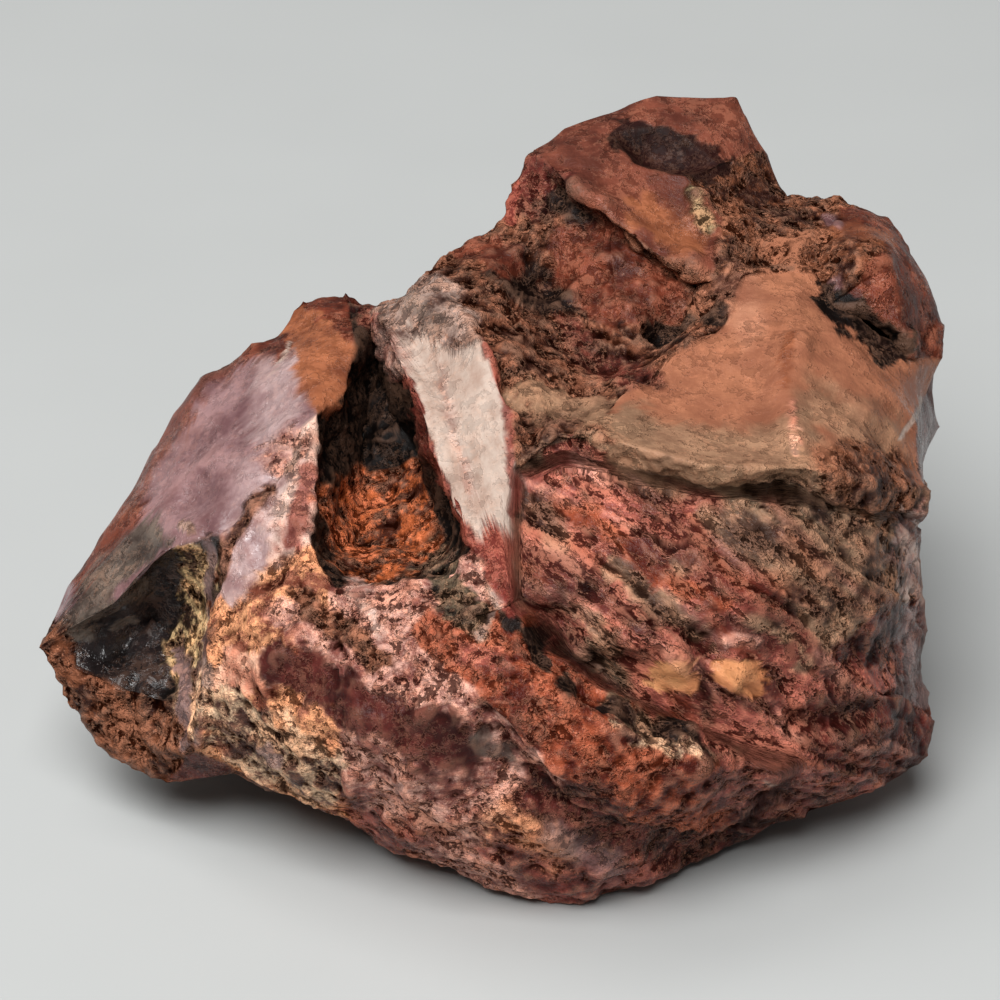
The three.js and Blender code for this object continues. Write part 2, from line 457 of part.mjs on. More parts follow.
// How far a place stands out of its facet: swells, small breaks, and the edges of beds.
function relief(p, rough, bedded) {
  const swell = noise(p, LUMPS.size) * THREE.MathUtils.lerp(LUMPS.smooth, LUMPS.rough, rough);
  const chip = 0.5 - Math.abs(noise(p, CHIPS.size)) * 2;
  const chips = chip * THREE.MathUtils.lerp(CHIPS.smooth, CHIPS.rough, rough);
  const tilt = THREE.MathUtils.degToRad(BEDS.tilt);
  const bed = (p.x * Math.sin(tilt) + p.y * Math.cos(tilt) + noise(p, LUMPS.size)) / BEDS.step;
  return swell + chips + bedded * BEDS.relief * (2 * (bed - Math.floor(bed)) - 1);
}

// A carved form's share of its depth, at a gap from its middle: all of it there, and none past its reach.
function carvedShare(gap, size) {
  const reach = Math.min(1, gap / (CARVED_REACH * size));
  return (1 - reach * reach) ** 2;
}

// How far a place is pushed in by the dents and seams.
function carving(p) {
  let depth = 0;
  for (const [across, up, out, radius, most] of dents) {
    depth += most * carvedShare(p.distanceTo(at([across, up, out])), radius);
  }
  for (const [width, most, route] of seams) {
    const gaps = route.slice(1).map((end, n) => {
      const piece = new THREE.Line3(at(route[n]), at(end));
      return piece.closestPointToPoint(p, true, new THREE.Vector3()).distanceTo(p);
    });
    depth += most * carvedShare(Math.min(...gaps), width);
  }
  return depth;
}

function roughen({ points, triangles }) {
  const outward = outwardAt({ points, triangles });
  const places = points.map(({ place, rough, bedded }, n) => {
    const height = relief(place, rough, bedded) - carving(place);
    return place.clone().addScaledVector(outward[n], height);
  });
  return { places, triangles };
}

// Leans the stone back onto its flat spot, at z = 0, with the middle of its plan at the origin.
function stand(places) {
  const lean = new THREE.Matrix4().makeRotationX(Math.PI / 2 - THREE.MathUtils.degToRad(LEAN));
  const stood = places.map((p) => p.clone().applyMatrix4(lean));
  stood.forEach((p) => p.set(p.x, p.y, Math.max(0, p.z + REST_DROP)));
  const box = new THREE.Box3().setFromPoints(stood);
  const middle = box.getCenter(new THREE.Vector3()).setZ(0);
  return stood.map((p) => p.sub(middle));
}

function jasperGeometry() {
  const { places, triangles } = roughen(soften(splitLongEdges(fanFacets())));
  const geometry = new THREE.BufferGeometry().setFromPoints(stand(places));
  geometry.setIndex(triangles.flat());
  geometry.computeVertexNormals();
  return geometry;
}

const jasper = new THREE.Mesh(
  jasperGeometry(),
  new THREE.MeshStandardMaterial({ color: 0x8a5a46, roughness: 0.75, metalness: 0 }),
);
jasper.name = 'jasper';

const stone = new THREE.Group();
stone.add(jasper);

export default stone;
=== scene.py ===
"""A broken lump of banded jasper, about 50 mm across, on a plain pale floor.

The stone's skin is a quilt of fracture facets between named corners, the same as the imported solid's,
worked out finely enough to carry grit, pits and the edges of beds. Every facet is of one mineral, and stains
lie over them. Lengths are in millimetres until the mesh is made.
"""
import itertools
import math

import bpy
import numpy as np
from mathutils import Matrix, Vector


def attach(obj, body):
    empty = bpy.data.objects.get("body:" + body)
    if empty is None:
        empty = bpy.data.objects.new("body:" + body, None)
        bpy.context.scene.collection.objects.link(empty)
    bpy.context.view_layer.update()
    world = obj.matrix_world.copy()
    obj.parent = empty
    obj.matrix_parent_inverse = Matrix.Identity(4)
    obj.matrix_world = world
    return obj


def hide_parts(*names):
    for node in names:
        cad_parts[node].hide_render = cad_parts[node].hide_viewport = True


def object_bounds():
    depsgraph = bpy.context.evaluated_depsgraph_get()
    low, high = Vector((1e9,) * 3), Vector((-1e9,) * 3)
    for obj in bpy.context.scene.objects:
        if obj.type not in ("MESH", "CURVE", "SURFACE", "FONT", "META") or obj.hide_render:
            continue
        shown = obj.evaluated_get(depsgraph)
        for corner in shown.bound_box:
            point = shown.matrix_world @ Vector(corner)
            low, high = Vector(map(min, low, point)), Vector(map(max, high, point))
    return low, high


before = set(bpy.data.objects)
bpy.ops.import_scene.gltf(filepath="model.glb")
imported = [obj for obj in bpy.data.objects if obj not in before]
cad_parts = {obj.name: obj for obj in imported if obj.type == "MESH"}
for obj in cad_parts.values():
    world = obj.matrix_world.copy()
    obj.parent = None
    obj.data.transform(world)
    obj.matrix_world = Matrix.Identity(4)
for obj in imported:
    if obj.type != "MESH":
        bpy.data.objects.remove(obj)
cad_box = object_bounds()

bl_info = {
    "name": "Rough jasper",
    "version": (1, 0, 0),
    "blender": (4, 5, 0),
    "location": "3D View > Sidebar > Jasper",
    "description": "A broken lump of banded jasper on a plain studio floor",
    "category": "Object",
}

MM = 0.001  # one millimetre in Blender's metres

# The solid's own driving dimensions, in millimetres and degrees.
LEAN = 30
REST_DROP = 18.7
EYE_DISTANCE = 300
BEDS = dict(tilt=37, step=4.4, relief=0.16)
LUMPS = dict(size=6.5, rough=0.55, smooth=0.3)
CHIPS = dict(size=3.1, rough=0.4, smooth=0.1)
CARVED_REACH = 1.5
PLAN_MIDDLE = (-0.1791, 2.903)  # of the leaned drawing, which the solid's origin is under

# How the skin is worked out.
WELD_STEPS = 1e5  # corners are told apart to this part of a millimetre
LIKE_STEP = 0.3  # how far a softening pass moves a point between two facets of one kind
SEED_SHIFT = 17.3  # how many cells apart the noises of two seeds are read
NOISE_GAIN = 1.6  # brings gradient noise to about -1 to 1
FINE_BEND = 1.4  # how far the fine beds wander
LAMINAE_IN_BED = 4.1
VEIN_RUN = (0.34, -0.86, 0.38)  # the direction that the vein points in

# Tints of painted shade and grime that darken what is low and of painted highlight and wear that lighten what
# is high, and the pale colour of painted highlight and dust on what is high, as sRGB bytes.
SHADE_AND_GRIME_TINT = (0.13, 0.09, 0.08, 1)
HIGHLIGHT_AND_WEAR_TINT = (2.4, 2.0, 1.8, 1)
HIGHLIGHT_AND_DUST = (230, 172, 140)

# The stage: the view's width at the stone, the floor's reach in lengths of the stone, and each lamp's side
# and place in metres.
VIEW_WIDTH = 500 / 9
SENSOR_WIDTH = 36
FLOOR_REACH = 20
LAMPS = {"key": (0.36, (-0.24, 0.06, 0.62)), "fill": (0.42, (-0.10, -0.39, 0.63))}
SKY_TINT = (1.0, 0.99, 0.97, 1)

# Corners in the drawing's frame: across to the right, up, and out towards the viewer.
CORNERS = dict(
    # the outline, clockwise from the left tip: flank, knuckle, notch, spur
    tip=(-26.2, -8.3, -2), flank1=(-24.8, -5.8, -3.5), flank2=(-22.4, -1.7, -5),
    flank3=(-19.5, 3.0, -6.5), flank4=(-16.8, 6.8, -7.5), flank5=(-12.6, 9.3, -8),
    knuckle1=(-11.2, 11.2, -9), knuckle2=(-8.6, 11.6, -9.5), notch=(-7.0, 10.8, -8),
    spur1=(-5.2, 11.7, -6), spur2=(-3.2, 13.5, -7), spur3=(0.3, 15.9, -9),
    # the crest and the knob on its right
    crest1=(0.5, 17.6, -10), crest2=(1.8, 19.7, -10.5), crest3=(3.3, 20.95, -11.5),
    crest4=(8.8, 22.6, -13), crest5=(13.4, 22.8, -13.5), crest6=(14.7, 19.6, -12.5),
    crest7=(16.2, 17.0, -12), knob1=(19.0, 17.0, -12), knob2=(21.8, 15.8, -11.5),
    knob3=(24.0, 12.2, -10.5), knob4=(24.9, 9.8, -9), knob5=(24.8, 7.9, -8),
    # down the right side to the heel
    side1=(24.0, 6.0, -8.5), side2=(24.9, 4.0, -10.5), side3=(23.1, 1.7, -8.5),
    side4=(23.1, -1.2, -5), side5=(23.6, -5.4, -5), side6=(23.5, -10.0, -4),
    heel1=(24.6, -12.3, -4), heel2=(24.2, -14.4, -3.5), heel3=(22.2, -15.7, -3),
    # the keel, from the right back to the left, and the toe under the tip
    keel1=(17.2, -17.8, -1), keel2=(13.8, -18.4, 0), keel3=(11.8, -18.9, 0.5),
    keel4=(9.6, -20.8, 0.5), keel5=(6.1, -22.1, 1), keel6=(2.8, -22.6, 1.5),
    keel7=(0.3, -21.8, 2), keel8=(-1.9, -20.7, 2), keel9=(-4.8, -19.8, 1.5),
    keel10=(-8.1, -17.6, 1.5), keel11=(-11.1, -16.8, 1), keel12=(-15.1, -15.6, 0),
    toe1=(-18.8, -16.0, -2), toe2=(-21.9, -14.3, -3.5), toe3=(-23.9, -11.2, -3.5),
    # the den, a black scar in the left end, with its lip and sill
    lip1=(-21.7, -5.9, 0.5), lip2=(-18.9, -2.9, 2), lip3=(-15.8, -1.9, 3.5),
    lip4=(-15.6, -5.0, 4.5), lip5=(-16.3, -9.2, 5.5), lip6=(-16.9, -13.8, 3),
    sill1=(-22.8, -9.9, -1.5), sill2=(-19.4, -11.1, 0.5), sill3=(-17.2, -11.1, 2.5),
    den1=(-19.4, -6.6, -4.5), den2=(-17.7, -8.6, -2),
    # the shoulder between the flank and the pocket
    shoulder=(-12.7, 1.4, 2.5), collar1=(-10.6, 9.8, -6.5), collar2=(-10.8, 7.1, -2),
    # the pocket's rim, down its left and along its bottom, and its floor
    rim1=(-8.2, 8.6, -3.5), rim2=(-8.7, 6.0, -1), rim3=(-10.3, 4.8, 1.5),
    rim4=(-10.3, 0.8, 4), rim5=(-10.6, -2.2, 6), rim6=(-9.5, -4.9, 7.5),
    rim7=(-5.0, -4.4, 9), rim8=(-2.8, -4.1, 9.5), rim9=(-1.5, -2.7, 10),
    pit1=(-6.7, 8.3, -8.5), pit2=(-7.8, 5.0, -7), pit3=(-7.9, 1.1, -4.5),
    pit4=(-8.1, -2.7, -0.5), pit5=(-4.7, -2.9, 1.5), pit6=(-3.4, -1.4, 1.5),
    pit7=(-4.6, 2.5, -3), pit8=(-5.9, 6.1, -6.5),
    # the pale vein, a spearhead between the pocket and the hollow
    vein1=(-6.8, 10.1, -3), vein2=(-6.1, 8.6, 1), vein3=(-4.8, 5.8, 4.5),
    vein4=(-3.9, 2.5, 7), vein5=(-2.6, -0.4, 9), veintip=(0.8, -5.7, 12),
    vein6=(0.8, 1.7, 9.4), vein7=(0.5, 5.0, 7.2), vein8=(-0.9, 8.6, 4.2),
    vein9=(-2.4, 10.7, 0.5), veinhead=(-4.2, 11.2, -1.5),
    # the hollow under the crest, and the crest's front ridge
    hollow1=(3.1, 15.8, -8), hollow2=(2.6, 12.3, -6), hollow3=(3.9, 8.1, -1),
    hollow4=(3.6, 5.1, 4.4), hollow5=(6.1, 14.7, -5.8), hollow6=(11.1, 11.7, -5.5),
    hollow7=(10.1, 9.2, -4), hollow8=(6.7, 10.0, -3),
    ridge1=(2.9, 18.6, -8), ridge2=(5.8, 16.0, -5), ridge3=(8.9, 13.6, -4),
    ridge4=(11.9, 12.5, -4), scar1=(6.3, 20.6, -10.3), scar2=(7.5, 18.9, -8.2),
    scar3=(10.4, 18.2, -7.6), scar4=(12.4, 18.8, -9), scar5=(9.4, 21.0, -10.6),
    saddle1=(12.5, 15.8, -6.5), saddle2=(15.6, 15.3, -8),
    # the knob's front, over a small cave
    cheek1=(17.6, 12.6, -5.3), cheek2=(19.3, 14.7, -7.5), cheek3=(21.9, 13.2, -4.5),
    cheek4=(22.6, 9.4, -3.6), cheek5=(18.4, 10.8, -4.2), cheek6=(22.9, 8.0, -4.5),
    cheek7=(20.3, 10.9, -3.9), cave=(20.5, 9.6, -8.5),
    # the slab, which looks up, its ledge, and the shaded strip under the ledge
    slab1=(6.1, 5.3, 6), slab2=(9.7, 8.1, 2), slab3=(12.8, 9.9, -0.5),
    slab4=(13.6, 12.3, -4.5), slab5=(16.9, 9.2, 0.5), slab6=(17.2, 5.6, 5),
    slab7=(20.3, 8.7, -2.3), slab8=(20.7, 5.0, 3), slab9=(23.1, 4.9, -2),
    ledge1=(3.1, 3.8, 9), ledge2=(6.7, 3.2, 10), ledge3=(11.4, 1.9, 11),
    ledge4=(17.2, 1.7, 10.5), ledge5=(20.7, 1.0, 7.5), ledge6=(23.6, 0.6, 1.5),
    under1=(3.6, 2.5, 8.5), under2=(7.2, 1.6, 9), under3=(11.7, 0.6, 9.5),
    under4=(16.9, 0.3, 9), under5=(20.8, -0.6, 6), under6=(23.7, -0.8, 0.5),
    # the bedded face, down to the groove
    bed1=(3.9, -3.3, 11.5), bed2=(9.4, -4.2, 12), bed3=(15.6, -5.0, 10.5),
    bed4=(21.7, -5.6, 5), bed5=(7.5, -8.3, 12.5), bed6=(12.2, -9.2, 11.5),
    bed7=(17.2, -10.0, 8.5), bed8=(21.9, -10.6, 3.5), bed9=(16.4, -14.7, 7),
    bed10=(20.8, -14.2, 3.5), groove1=(3.1, -8.2, 10.6), groove2=(6.8, -11.0, 10),
    groove3=(11.9, -13.4, 8.8),
    # the rust band, and the crevice under it
    band1=(-3.3, -6.9, 12), band2=(1.7, -9.6, 13.6), band3=(6.1, -12.6, 13.4),
    band4=(11.4, -15.2, 11), band5=(-1.1, -11.4, 13.6), band6=(2.8, -15.2, 13.0),
    band7=(7.0, -16.8, 11.4), band8=(10.6, -18.6, 5.5),
    crevice1=(1.4, -15.1, 10.4), crevice2=(4.9, -17.2, 8.6), crevice3=(8.1, -18.3, 6.8),
    # the belly and the gritty patch on its left
    belly1=(-5.8, -8.6, 11), belly2=(-5.0, -12.5, 11.5), belly3=(-5.0, -16.4, 8.5),
    belly4=(-0.3, -16.9, 10), belly5=(3.4, -19.6, 7.5), belly6=(7.6, -20.0, 5.2),
    belly7=(-2.5, -19.2, 5.5),
    grit1=(-8.9, -7.8, 9.5), grit2=(-13.1, -7.8, 8), grit3=(-13.6, -12.2, 7),
    grit4=(-9.2, -12.5, 9.5), grit5=(-12.5, -15.1, 5), grit6=(-8.6, -16.1, 6),
    # the foot, and the back
    foot1=(-5, -19.3, -4), foot2=(-8, -14.2, -13.5), foot3=(2, -12.2, -17),
    foot4=(12, -14.2, -13.5), foot5=(12, -19.5, -4),
    rear1=(-22, -6, -9), rear2=(-17, -10, -12), rear3=(-14, 2, -15), rear4=(-8, -5, -18),
    rear5=(-4, 8, -16), rear6=(3, 0, -20), rear7=(8, 12, -19), rear8=(14, 2, -19),
    rear9=(20, 8, -15), rear10=(19, -6, -15), rear11=(13, 18, -17),
    rear12=(-14, -14.5, -6), rear13=(19, -14.5, -7),
)

# Facets: how each breaks and its mineral, its crown in mm (minus is hollow), and its corners.
FACETS = [
    # the left end
    ("smooth lavender", 0.8, "tip lip1 lip2 lip3 shoulder rim3 collar2 flank5 flank4 flank3 flank2 flank1"),
    ("smooth tan", 0.3, "collar2 rim3 rim2 rim1 collar1 flank5"),
    ("smooth tan", 0, "flank5 collar1 knuckle1"),
    ("smooth russet", 0.3, "collar1 rim1 knuckle2 knuckle1"),
    ("rough umber", 0, "rim1 notch knuckle2"),
    # the den's near-black glassy stone is darkened with painted shade
    ("smooth pitch", -0.4, "tip sill1 den1 lip1"),
    ("smooth pitch", -0.3, "lip1 den1 lip2"),
    ("smooth pitch", -0.8, "lip2 den1 den2 lip4 lip3"),
    ("rough pitch", -0.3, "sill1 sill2 den2 den1"),
    ("rough bronze", 0, "den2 sill3 lip5 lip4"),
    ("rough umber", 0, "den2 sill2 sill3"),
    ("smooth slate", 0, "sill3 lip6 lip5"),
    ("rough bronze", 0.3, "tip toe3 toe2 sill2 sill1"),
    ("rough bronze", 0.3, "sill2 toe2 toe1 lip6 sill3"),
    ("smooth plum", 0, "lip6 toe1 keel12"),
    ("rough blush", 0.3, "shoulder lip3 lip4 rim5 rim4 rim3"),
    ("rough ochre", 0.2, "lip4 grit2 grit1 rim6 rim5"),
    # the pocket, whose near-black walls are dark brown stone darkened with painted shade
    ("rough umber", -0.3, "rim1 rim2 pit2 pit1"),
    ("rough umber", -0.3, "rim2 rim3 rim4 pit3 pit2"),
    ("rough umber", -0.3, "rim4 rim5 pit4 pit3"),
    ("rough umber", -0.3, "rim5 rim6 rim7 pit5 pit4"),
    ("rough umber", -0.3, "rim7 rim8 rim9 pit6 pit5"),
    ("rough umber", -0.3, "rim9 vein5 vein4 pit7 pit6"),
    ("rough umber", -0.3, "vein4 vein3 pit8 pit7"),
    ("rough umber", -0.3, "vein3 vein2 vein1 pit1 pit8"),
    ("rough umber", 0, "vein1 notch rim1 pit1"),
    ("rough umber", -0.3, "pit1 pit2 pit7 pit8"),
    ("rough umber", 0, "pit2 pit3 pit7"),
    ("rough ember", -0.4, "pit3 pit4 pit5 pit6 pit7"),
    # the vein
    ("smooth cream", 0.3, "vein1 vein2 vein3 vein4 vein5 rim9 veintip vein6 vein7 vein8 vein9 veinhead"),
    ("rough chalk", 0, "vein1 veinhead spur1 notch"),
    ("rough chalk", 0.2, "veinhead vein9 spur2 spur1"),
    # the hollow
    ("rough brown", -0.3, "spur2 vein9 hollow2 hollow1 spur3"),
    ("rough brown", -0.4, "vein9 vein8 vein7 hollow4 hollow3 hollow2"),
    ("rough brown", 0, "vein7 vein6 ledge1 hollow4"),
    ("rough brown", -0.3, "hollow2 hollow3 hollow8 hollow5 hollow1"),
    ("rough brown", -0.3, "hollow3 hollow4 slab1 slab2 hollow7 hollow8"),
    ("rough russet", 0.2, "hollow5 hollow8 hollow7 hollow6"),
    # the crest
    ("rough oxblood", 0, "spur3 hollow1 ridge1 crest2 crest1"),
    ("rough russet", -0.3, "hollow1 hollow5 ridge2 ridge1"),
    ("rough brown", -0.2, "hollow5 hollow6 ridge4 ridge3 ridge2"),
    ("smooth terracotta", 0.3, "ridge1 ridge2 scar2 scar1 crest3 crest2"),
    ("smooth terracotta", -0.3, "ridge2 ridge3 ridge4 saddle1 scar3 scar2"),
    ("smooth wine", -1.3, "scar1 scar2 scar3 scar4 scar5"),
    ("smooth terracotta", 0.2, "scar1 scar5 crest5 crest4 crest3"),
    ("smooth terracotta", 0.3, "scar5 scar4 crest6 crest5"),
    ("smooth bronze", -0.3, "scar3 saddle1 saddle2 crest7 crest6 scar4"),
    # the knob and its cave, whose near-black walls are dark brown stone darkened with painted shade
    ("rough bronze", -0.3, "ridge4 slab4 cheek1 saddle2 saddle1"),
    ("rough bronze", 0, "saddle2 cheek1 cheek2 knob1 crest7"),
    ("smooth russet", 0.3, "cheek2 cheek3 knob2 knob1"),
    ("smooth russet", 0.6, "cheek3 cheek4 knob4 knob3 knob2"),
    ("rough bronze", 0.3, "cheek1 cheek5 cheek3 cheek2"),
    ("smooth russet", 0, "cheek5 cheek7 cheek3"),
    ("smooth russet", 0, "cheek7 cheek4 cheek3"),
    ("rough umber", 0, "cheek5 cave cheek7"),
    ("rough umber", 0, "cave cheek4 cheek7"),
    ("rough umber", 0, "cheek5 slab7 cheek6 cave"),
    ("rough umber", 0, "cave cheek6 cheek4"),
    ("rough russet", 0.2, "cheek4 cheek6 knob5 knob4"),
    # the slab
    ("rough brown", 0, "hollow4 ledge1 ledge2 slab1"),
    ("smooth sand", -0.5, "slab1 ledge2 ledge3 ledge4 slab6 slab5 slab3 slab2"),
    ("smooth sand", 0.3, "slab3 slab5 cheek5 cheek1 slab4"),
    ("rough brown", -0.3, "slab2 slab3 slab4 ridge4 hollow6 hollow7"),
    ("smooth sand", 0.2, "slab5 slab6 slab8 slab7 cheek5"),
    ("smooth sand", 0.2, "slab6 ledge4 ledge5 slab8"),
    ("smooth sand", 0, "slab8 ledge5 ledge6 slab9"),
    ("smooth sand", 0.2, "slab8 slab9 side1 knob5 cheek6 slab7"),
    ("smooth slate", 0, "slab9 ledge6 side3 side2 side1"),
    ("rough olive", 0, "vein6 under1 ledge1"),
    ("rough olive", 0, "ledge1 under1 under2 ledge2"),
    ("rough oxblood", 0, "ledge2 under2 under3 ledge3"),
    ("rough olive", 0, "ledge3 under3 under4 ledge4"),
    ("rough olive", 0, "ledge4 under4 under5 ledge5"),
    ("rough olive", 0, "ledge5 under5 under6 ledge6"),
    ("rough olive", 0, "ledge6 under6 side4 side3"),
    # the bedded face
    ("bedded maroon", 0, "vein6 veintip bed1 under1"),
    ("bedded maroon", 0.2, "under1 bed1 bed2 under2"),
    ("bedded maroon", 0, "under2 bed2 under3"),
    ("bedded olive", 0.2, "under3 bed2 bed3 under4"),
    ("bedded olive", 0.2, "under4 bed3 bed4 under5"),
    ("bedded olive", 0.2, "under5 bed4 side5 side4 under6"),
    ("bedded maroon", 0.2, "bed1 veintip groove1 bed5 bed2"),
    ("bedded maroon", 0.2, "bed2 bed5 bed6 bed3"),
    ("bedded olive", 0.2, "bed3 bed6 bed7 bed4"),
    ("bedded maroon", 0.2, "bed4 bed7 bed8 side6 side5"),
    ("bedded oxblood", 0, "bed5 groove1 groove2 groove3 bed6"),
    ("bedded maroon", 0.2, "bed6 groove3 bed9 bed7"),
    ("bedded maroon", 0.2, "bed7 bed9 bed10 bed8"),
    ("bedded plum", 0, "bed8 bed10 heel2 heel1 side6"),
    ("bedded oxblood", 0.4, "bed9 keel2 keel1 heel3 bed10"),
    ("bedded oxblood", 0, "bed10 heel3 heel2"),
    # the rust band and its crevice
    ("rough mauve", 0, "rim7 band1 veintip rim9 rim8"),
    ("rough rust", 0, "veintip band1 band2 groove1"),
    ("rough rust", 0, "groove1 band2 band3 groove2"),
    ("rough rust", 0, "groove2 band3 band4 groove3"),
    ("rough rust", 0, "band1 band5 band2"),
    ("rough rust", 0.3, "band2 band5 band6 band3"),
    ("rough rust", 0.3, "band3 band6 band7 band4"),
    ("rough rust", 0.3, "band4 band7 band8 keel3 keel2"),
    ("rough oxblood", 0, "groove3 band4 keel2 bed9"),
    ("rough oxblood", 0, "band5 crevice1 crevice2 band6"),
    ("rough oxblood", 0, "band6 crevice2 crevice3 band7"),
    ("rough rust", 0, "band7 crevice3 band8"),
    # the belly
    ("rough mauve", 0.2, "rim6 grit1 belly1 band1 rim7"),
    ("rough mauve", 0.3, "belly1 belly2 band5 band1"),
    ("rough mauve", 0.3, "belly2 belly3 belly4 crevice1 band5"),
    ("rough oxblood", 0, "crevice1 belly4 belly5 crevice2"),
    ("rough oxblood", 0, "crevice2 belly5 belly6 crevice3"),
    ("rough oxblood", 0, "crevice3 belly6 keel4 keel3 band8"),
    ("rough mauve", 0.3, "belly3 belly7 belly4"),
    ("rough maroon", 0.3, "belly4 belly7 keel7 belly5"),
    ("rough maroon", 0.3, "belly3 keel10 keel9 belly7"),
    ("rough maroon", 0.2, "belly7 keel9 keel8 keel7"),
    ("rough maroon", 0.5, "belly5 keel7 keel6 keel5 belly6"),
    ("rough maroon", 0.3, "belly6 keel5 keel4"),
    # the gritty patch
    ("rough ochre", 0.2, "lip4 lip5 grit3 grit2"),
    ("rough ochre", 0.2, "lip5 lip6 keel12 grit3"),
    ("rough ochre", 0.3, "grit2 grit3 grit4 grit1"),
    ("rough mauve", 0.3, "grit1 grit4 belly2 belly1"),
    ("rough ochre", 0, "grit3 keel12 grit5"),
    ("rough ochre", 0.3, "grit3 grit5 grit6 grit4"),
    ("rough ochre", 0.3, "grit5 keel12 keel11 keel10 grit6"),
    ("rough mauve", 0.3, "grit4 grit6 belly3 belly2"),
    ("rough maroon", 0, "grit6 keel10 belly3"),
    # the foot and the underside
    ("smooth maroon", 0.8, "keel6 keel7 foot1 foot2 foot3 foot4 foot5 keel4 keel5"),
    ("rough maroon", 0.3, "keel7 keel8 keel9 foot1"),
    ("rough maroon", 0.5, "keel9 keel10 rear12 foot2 foot1"),
    ("rough bronze", 0.5, "keel10 keel11 keel12 rear12"),
    ("smooth bronze", 0.5, "keel12 toe1 toe2 rear2 rear12"),
    ("smooth maroon", 0.5, "heel2 heel3 keel1 rear13"),
    ("rough oxblood", 0.5, "keel1 keel2 keel3 keel4 foot5 rear13"),
    ("rough maroon", 0.5, "rear13 foot5 foot4 rear10"),
    # the back
    ("smooth bronze", 0.5, "toe2 toe3 tip rear1 rear2"),
    ("smooth lavender", 0.5, "tip flank1 flank2 rear1"),
    ("smooth lavender", 0.8, "flank2 flank3 flank4 rear3 rear1"),
    ("rough maroon", 0.8, "rear1 rear3 rear4 rear2"),
    ("rough oxblood", 0.8, "rear2 rear4 foot2 rear12"),
    ("rough russet", -0.5, "flank4 flank5 knuckle1 knuckle2 notch rear5 rear3"),
    ("rough brown", -0.4, "notch spur1 spur2 spur3 rear5"),
    ("smooth terracotta", -0.8, "spur3 crest1 crest2 crest3 rear7 rear5"),
    ("smooth terracotta", 0.6, "crest3 crest4 crest5 rear11 rear7"),
    ("smooth terracotta", 0.3, "crest5 crest6 crest7 rear11"),
    ("rough bronze", 0.3, "crest7 knob1 knob2 knob3 rear9 rear11"),
    ("smooth russet", 0.6, "knob3 knob4 knob5 side1 side2 rear9"),
    ("bedded maroon", 0.8, "rear11 rear9 rear8 rear7"),
    ("smooth slate", 0.6, "side2 side3 side4 side5 rear10 rear9"),
    ("rough maroon", 0.6, "side5 side6 heel1 heel2 rear13 rear10"),
    ("bedded oxblood", 0.8, "rear9 rear10 rear8"),
    ("rough maroon", 0.8, "foot4 foot3 rear6 rear8 rear10"),
    ("rough mauve", 0.8, "foot3 foot2 rear4 rear6"),
    ("bedded russet", 0.8, "rear4 rear3 rear5 rear6"),
    ("bedded maroon", -0.8, "rear6 rear5 rear7 rear8"),
]

# Hollows and bumps: across, up, out, radius, and depth in mm (minus is a bump).
DENTS = [
    (1.6, 12.0, -5.5, 1.7, 1.1), (9.3, 9.4, -3.2, 1.1, 1.1), (11.2, 9.9, -3, 0.9, 0.8),
    (8.0, 6.6, 2.5, 1.3, 0.8), (5.4, 9.0, 0, 1.5, 0.9), (4.6, 6.4, 3, 1.1, 0.7),
    (2.5, 17.3, -8, 1.5, 0.9), (11.2, 15.2, -5, 1.2, 0.5), (15.3, 14.0, -6, 1.0, 0.8),
    (17.6, 13.4, -6, 1.0, 0.7), (14.3, 12.9, -6, 0.9, 0.6), (20.6, 9.6, -6, 1.3, 1.0),
    (3.2, -7.4, 12, 1.5, 0.9), (5.3, -10.3, 12, 1.5, 0.9), (8.4, -12.7, 11, 1.4, 0.8),
    (-17.4, 0.3, 0.5, 1.6, 0.5), (-14.2, 4.6, -1, 2.2, 0.4), (-20.2, -3.4, -1, 1.5, 0.4),
    (20.9, -8.4, 6, 1.4, 0.7), (-11.2, -10.6, 9, 1.6, 0.6), (-7.2, -15.0, 9, 1.5, 0.6),
    (9.7, -9.7, 12, 1.1, -0.7), (13.5, -10.0, 11, 1.0, -0.6), (-4.1, -15.4, 10, 2.2, -0.7),
    (6.6, 11.6, -3, 1.8, -0.6), (20.6, 14.2, -6, 1.8, -0.5), (-12.4, -9.6, 8, 1.6, -0.5),
    (8, 9, -19.5, 4.5, 1.3), (-9, 1, -16, 4, 1.2), (17, 0, -17.5, 4, 1.1), (2, -4, -19.5, 3.5, -0.8),
    (-17, 4, -10, 3, -0.6), (12, -9, -17, 3.5, 1.1), (-13, -9, -12, 3, 0.9), (7, 17, -16, 3, -0.7),
]

# Cracks and ribs: width, depth in mm (minus is a rib), and the points that it runs through.
SEAMS = [
    (0.9, 0.8, ((-0.5, 10.4, 1), (0.6, 7.6, 4), (1.4, 4.6, 6.5), (1.8, 1.6, 8.5))),
    (0.9, 0.8, ((11.4, -7.8, 12), (11.6, -10.0, 12), (11.4, -12.2, 11))),
    (0.9, -0.5, ((16.6, 8.8, 1), (15.9, 6.4, 4), (16.6, 3.2, 8))),
    (0.9, -0.25, ((18.6, 8.6, -1), (21.6, 6.4, 0), (23.6, 4.4, -1))),
    (0.8, 0.25, ((17.8, 6.4, 3), (20.6, 4.2, 4), (23.2, 1.8, 1))),
    (0.9, 0.7, ((17.0, -12.6, 8), (19.6, -12.3, 6), (22.4, -11.2, 3))),
    (0.8, -0.5, ((2.4, 18.6, -8), (6.2, 16.6, -5), (11.2, 13.3, -4))),
    (0.7, -0.5, ((11.2, 17.0, -7), (10.9, 15.2, -5), (10.8, 13.6, -4))),
    (0.8, -0.6, ((-16.9, -6.2, 4), (-17.0, -9.6, 5), (-17.3, -13.2, 3))),
    (1.5, 1.1, ((-15, 5, -12), (-9, 3, -16), (0, 5, -18.5), (9, 3, -20), (18, 5, -17), (23, 0, -10))),
    (1.3, -0.8, ((-12, 1, -15), (-2, 1, -19), (8, -1, -20), (18, 0, -17))),
    (1.2, 0.9, ((11, 21, -16), (12, 12, -18.5), (17, 4, -17.5), (19, -6, -15))),
]

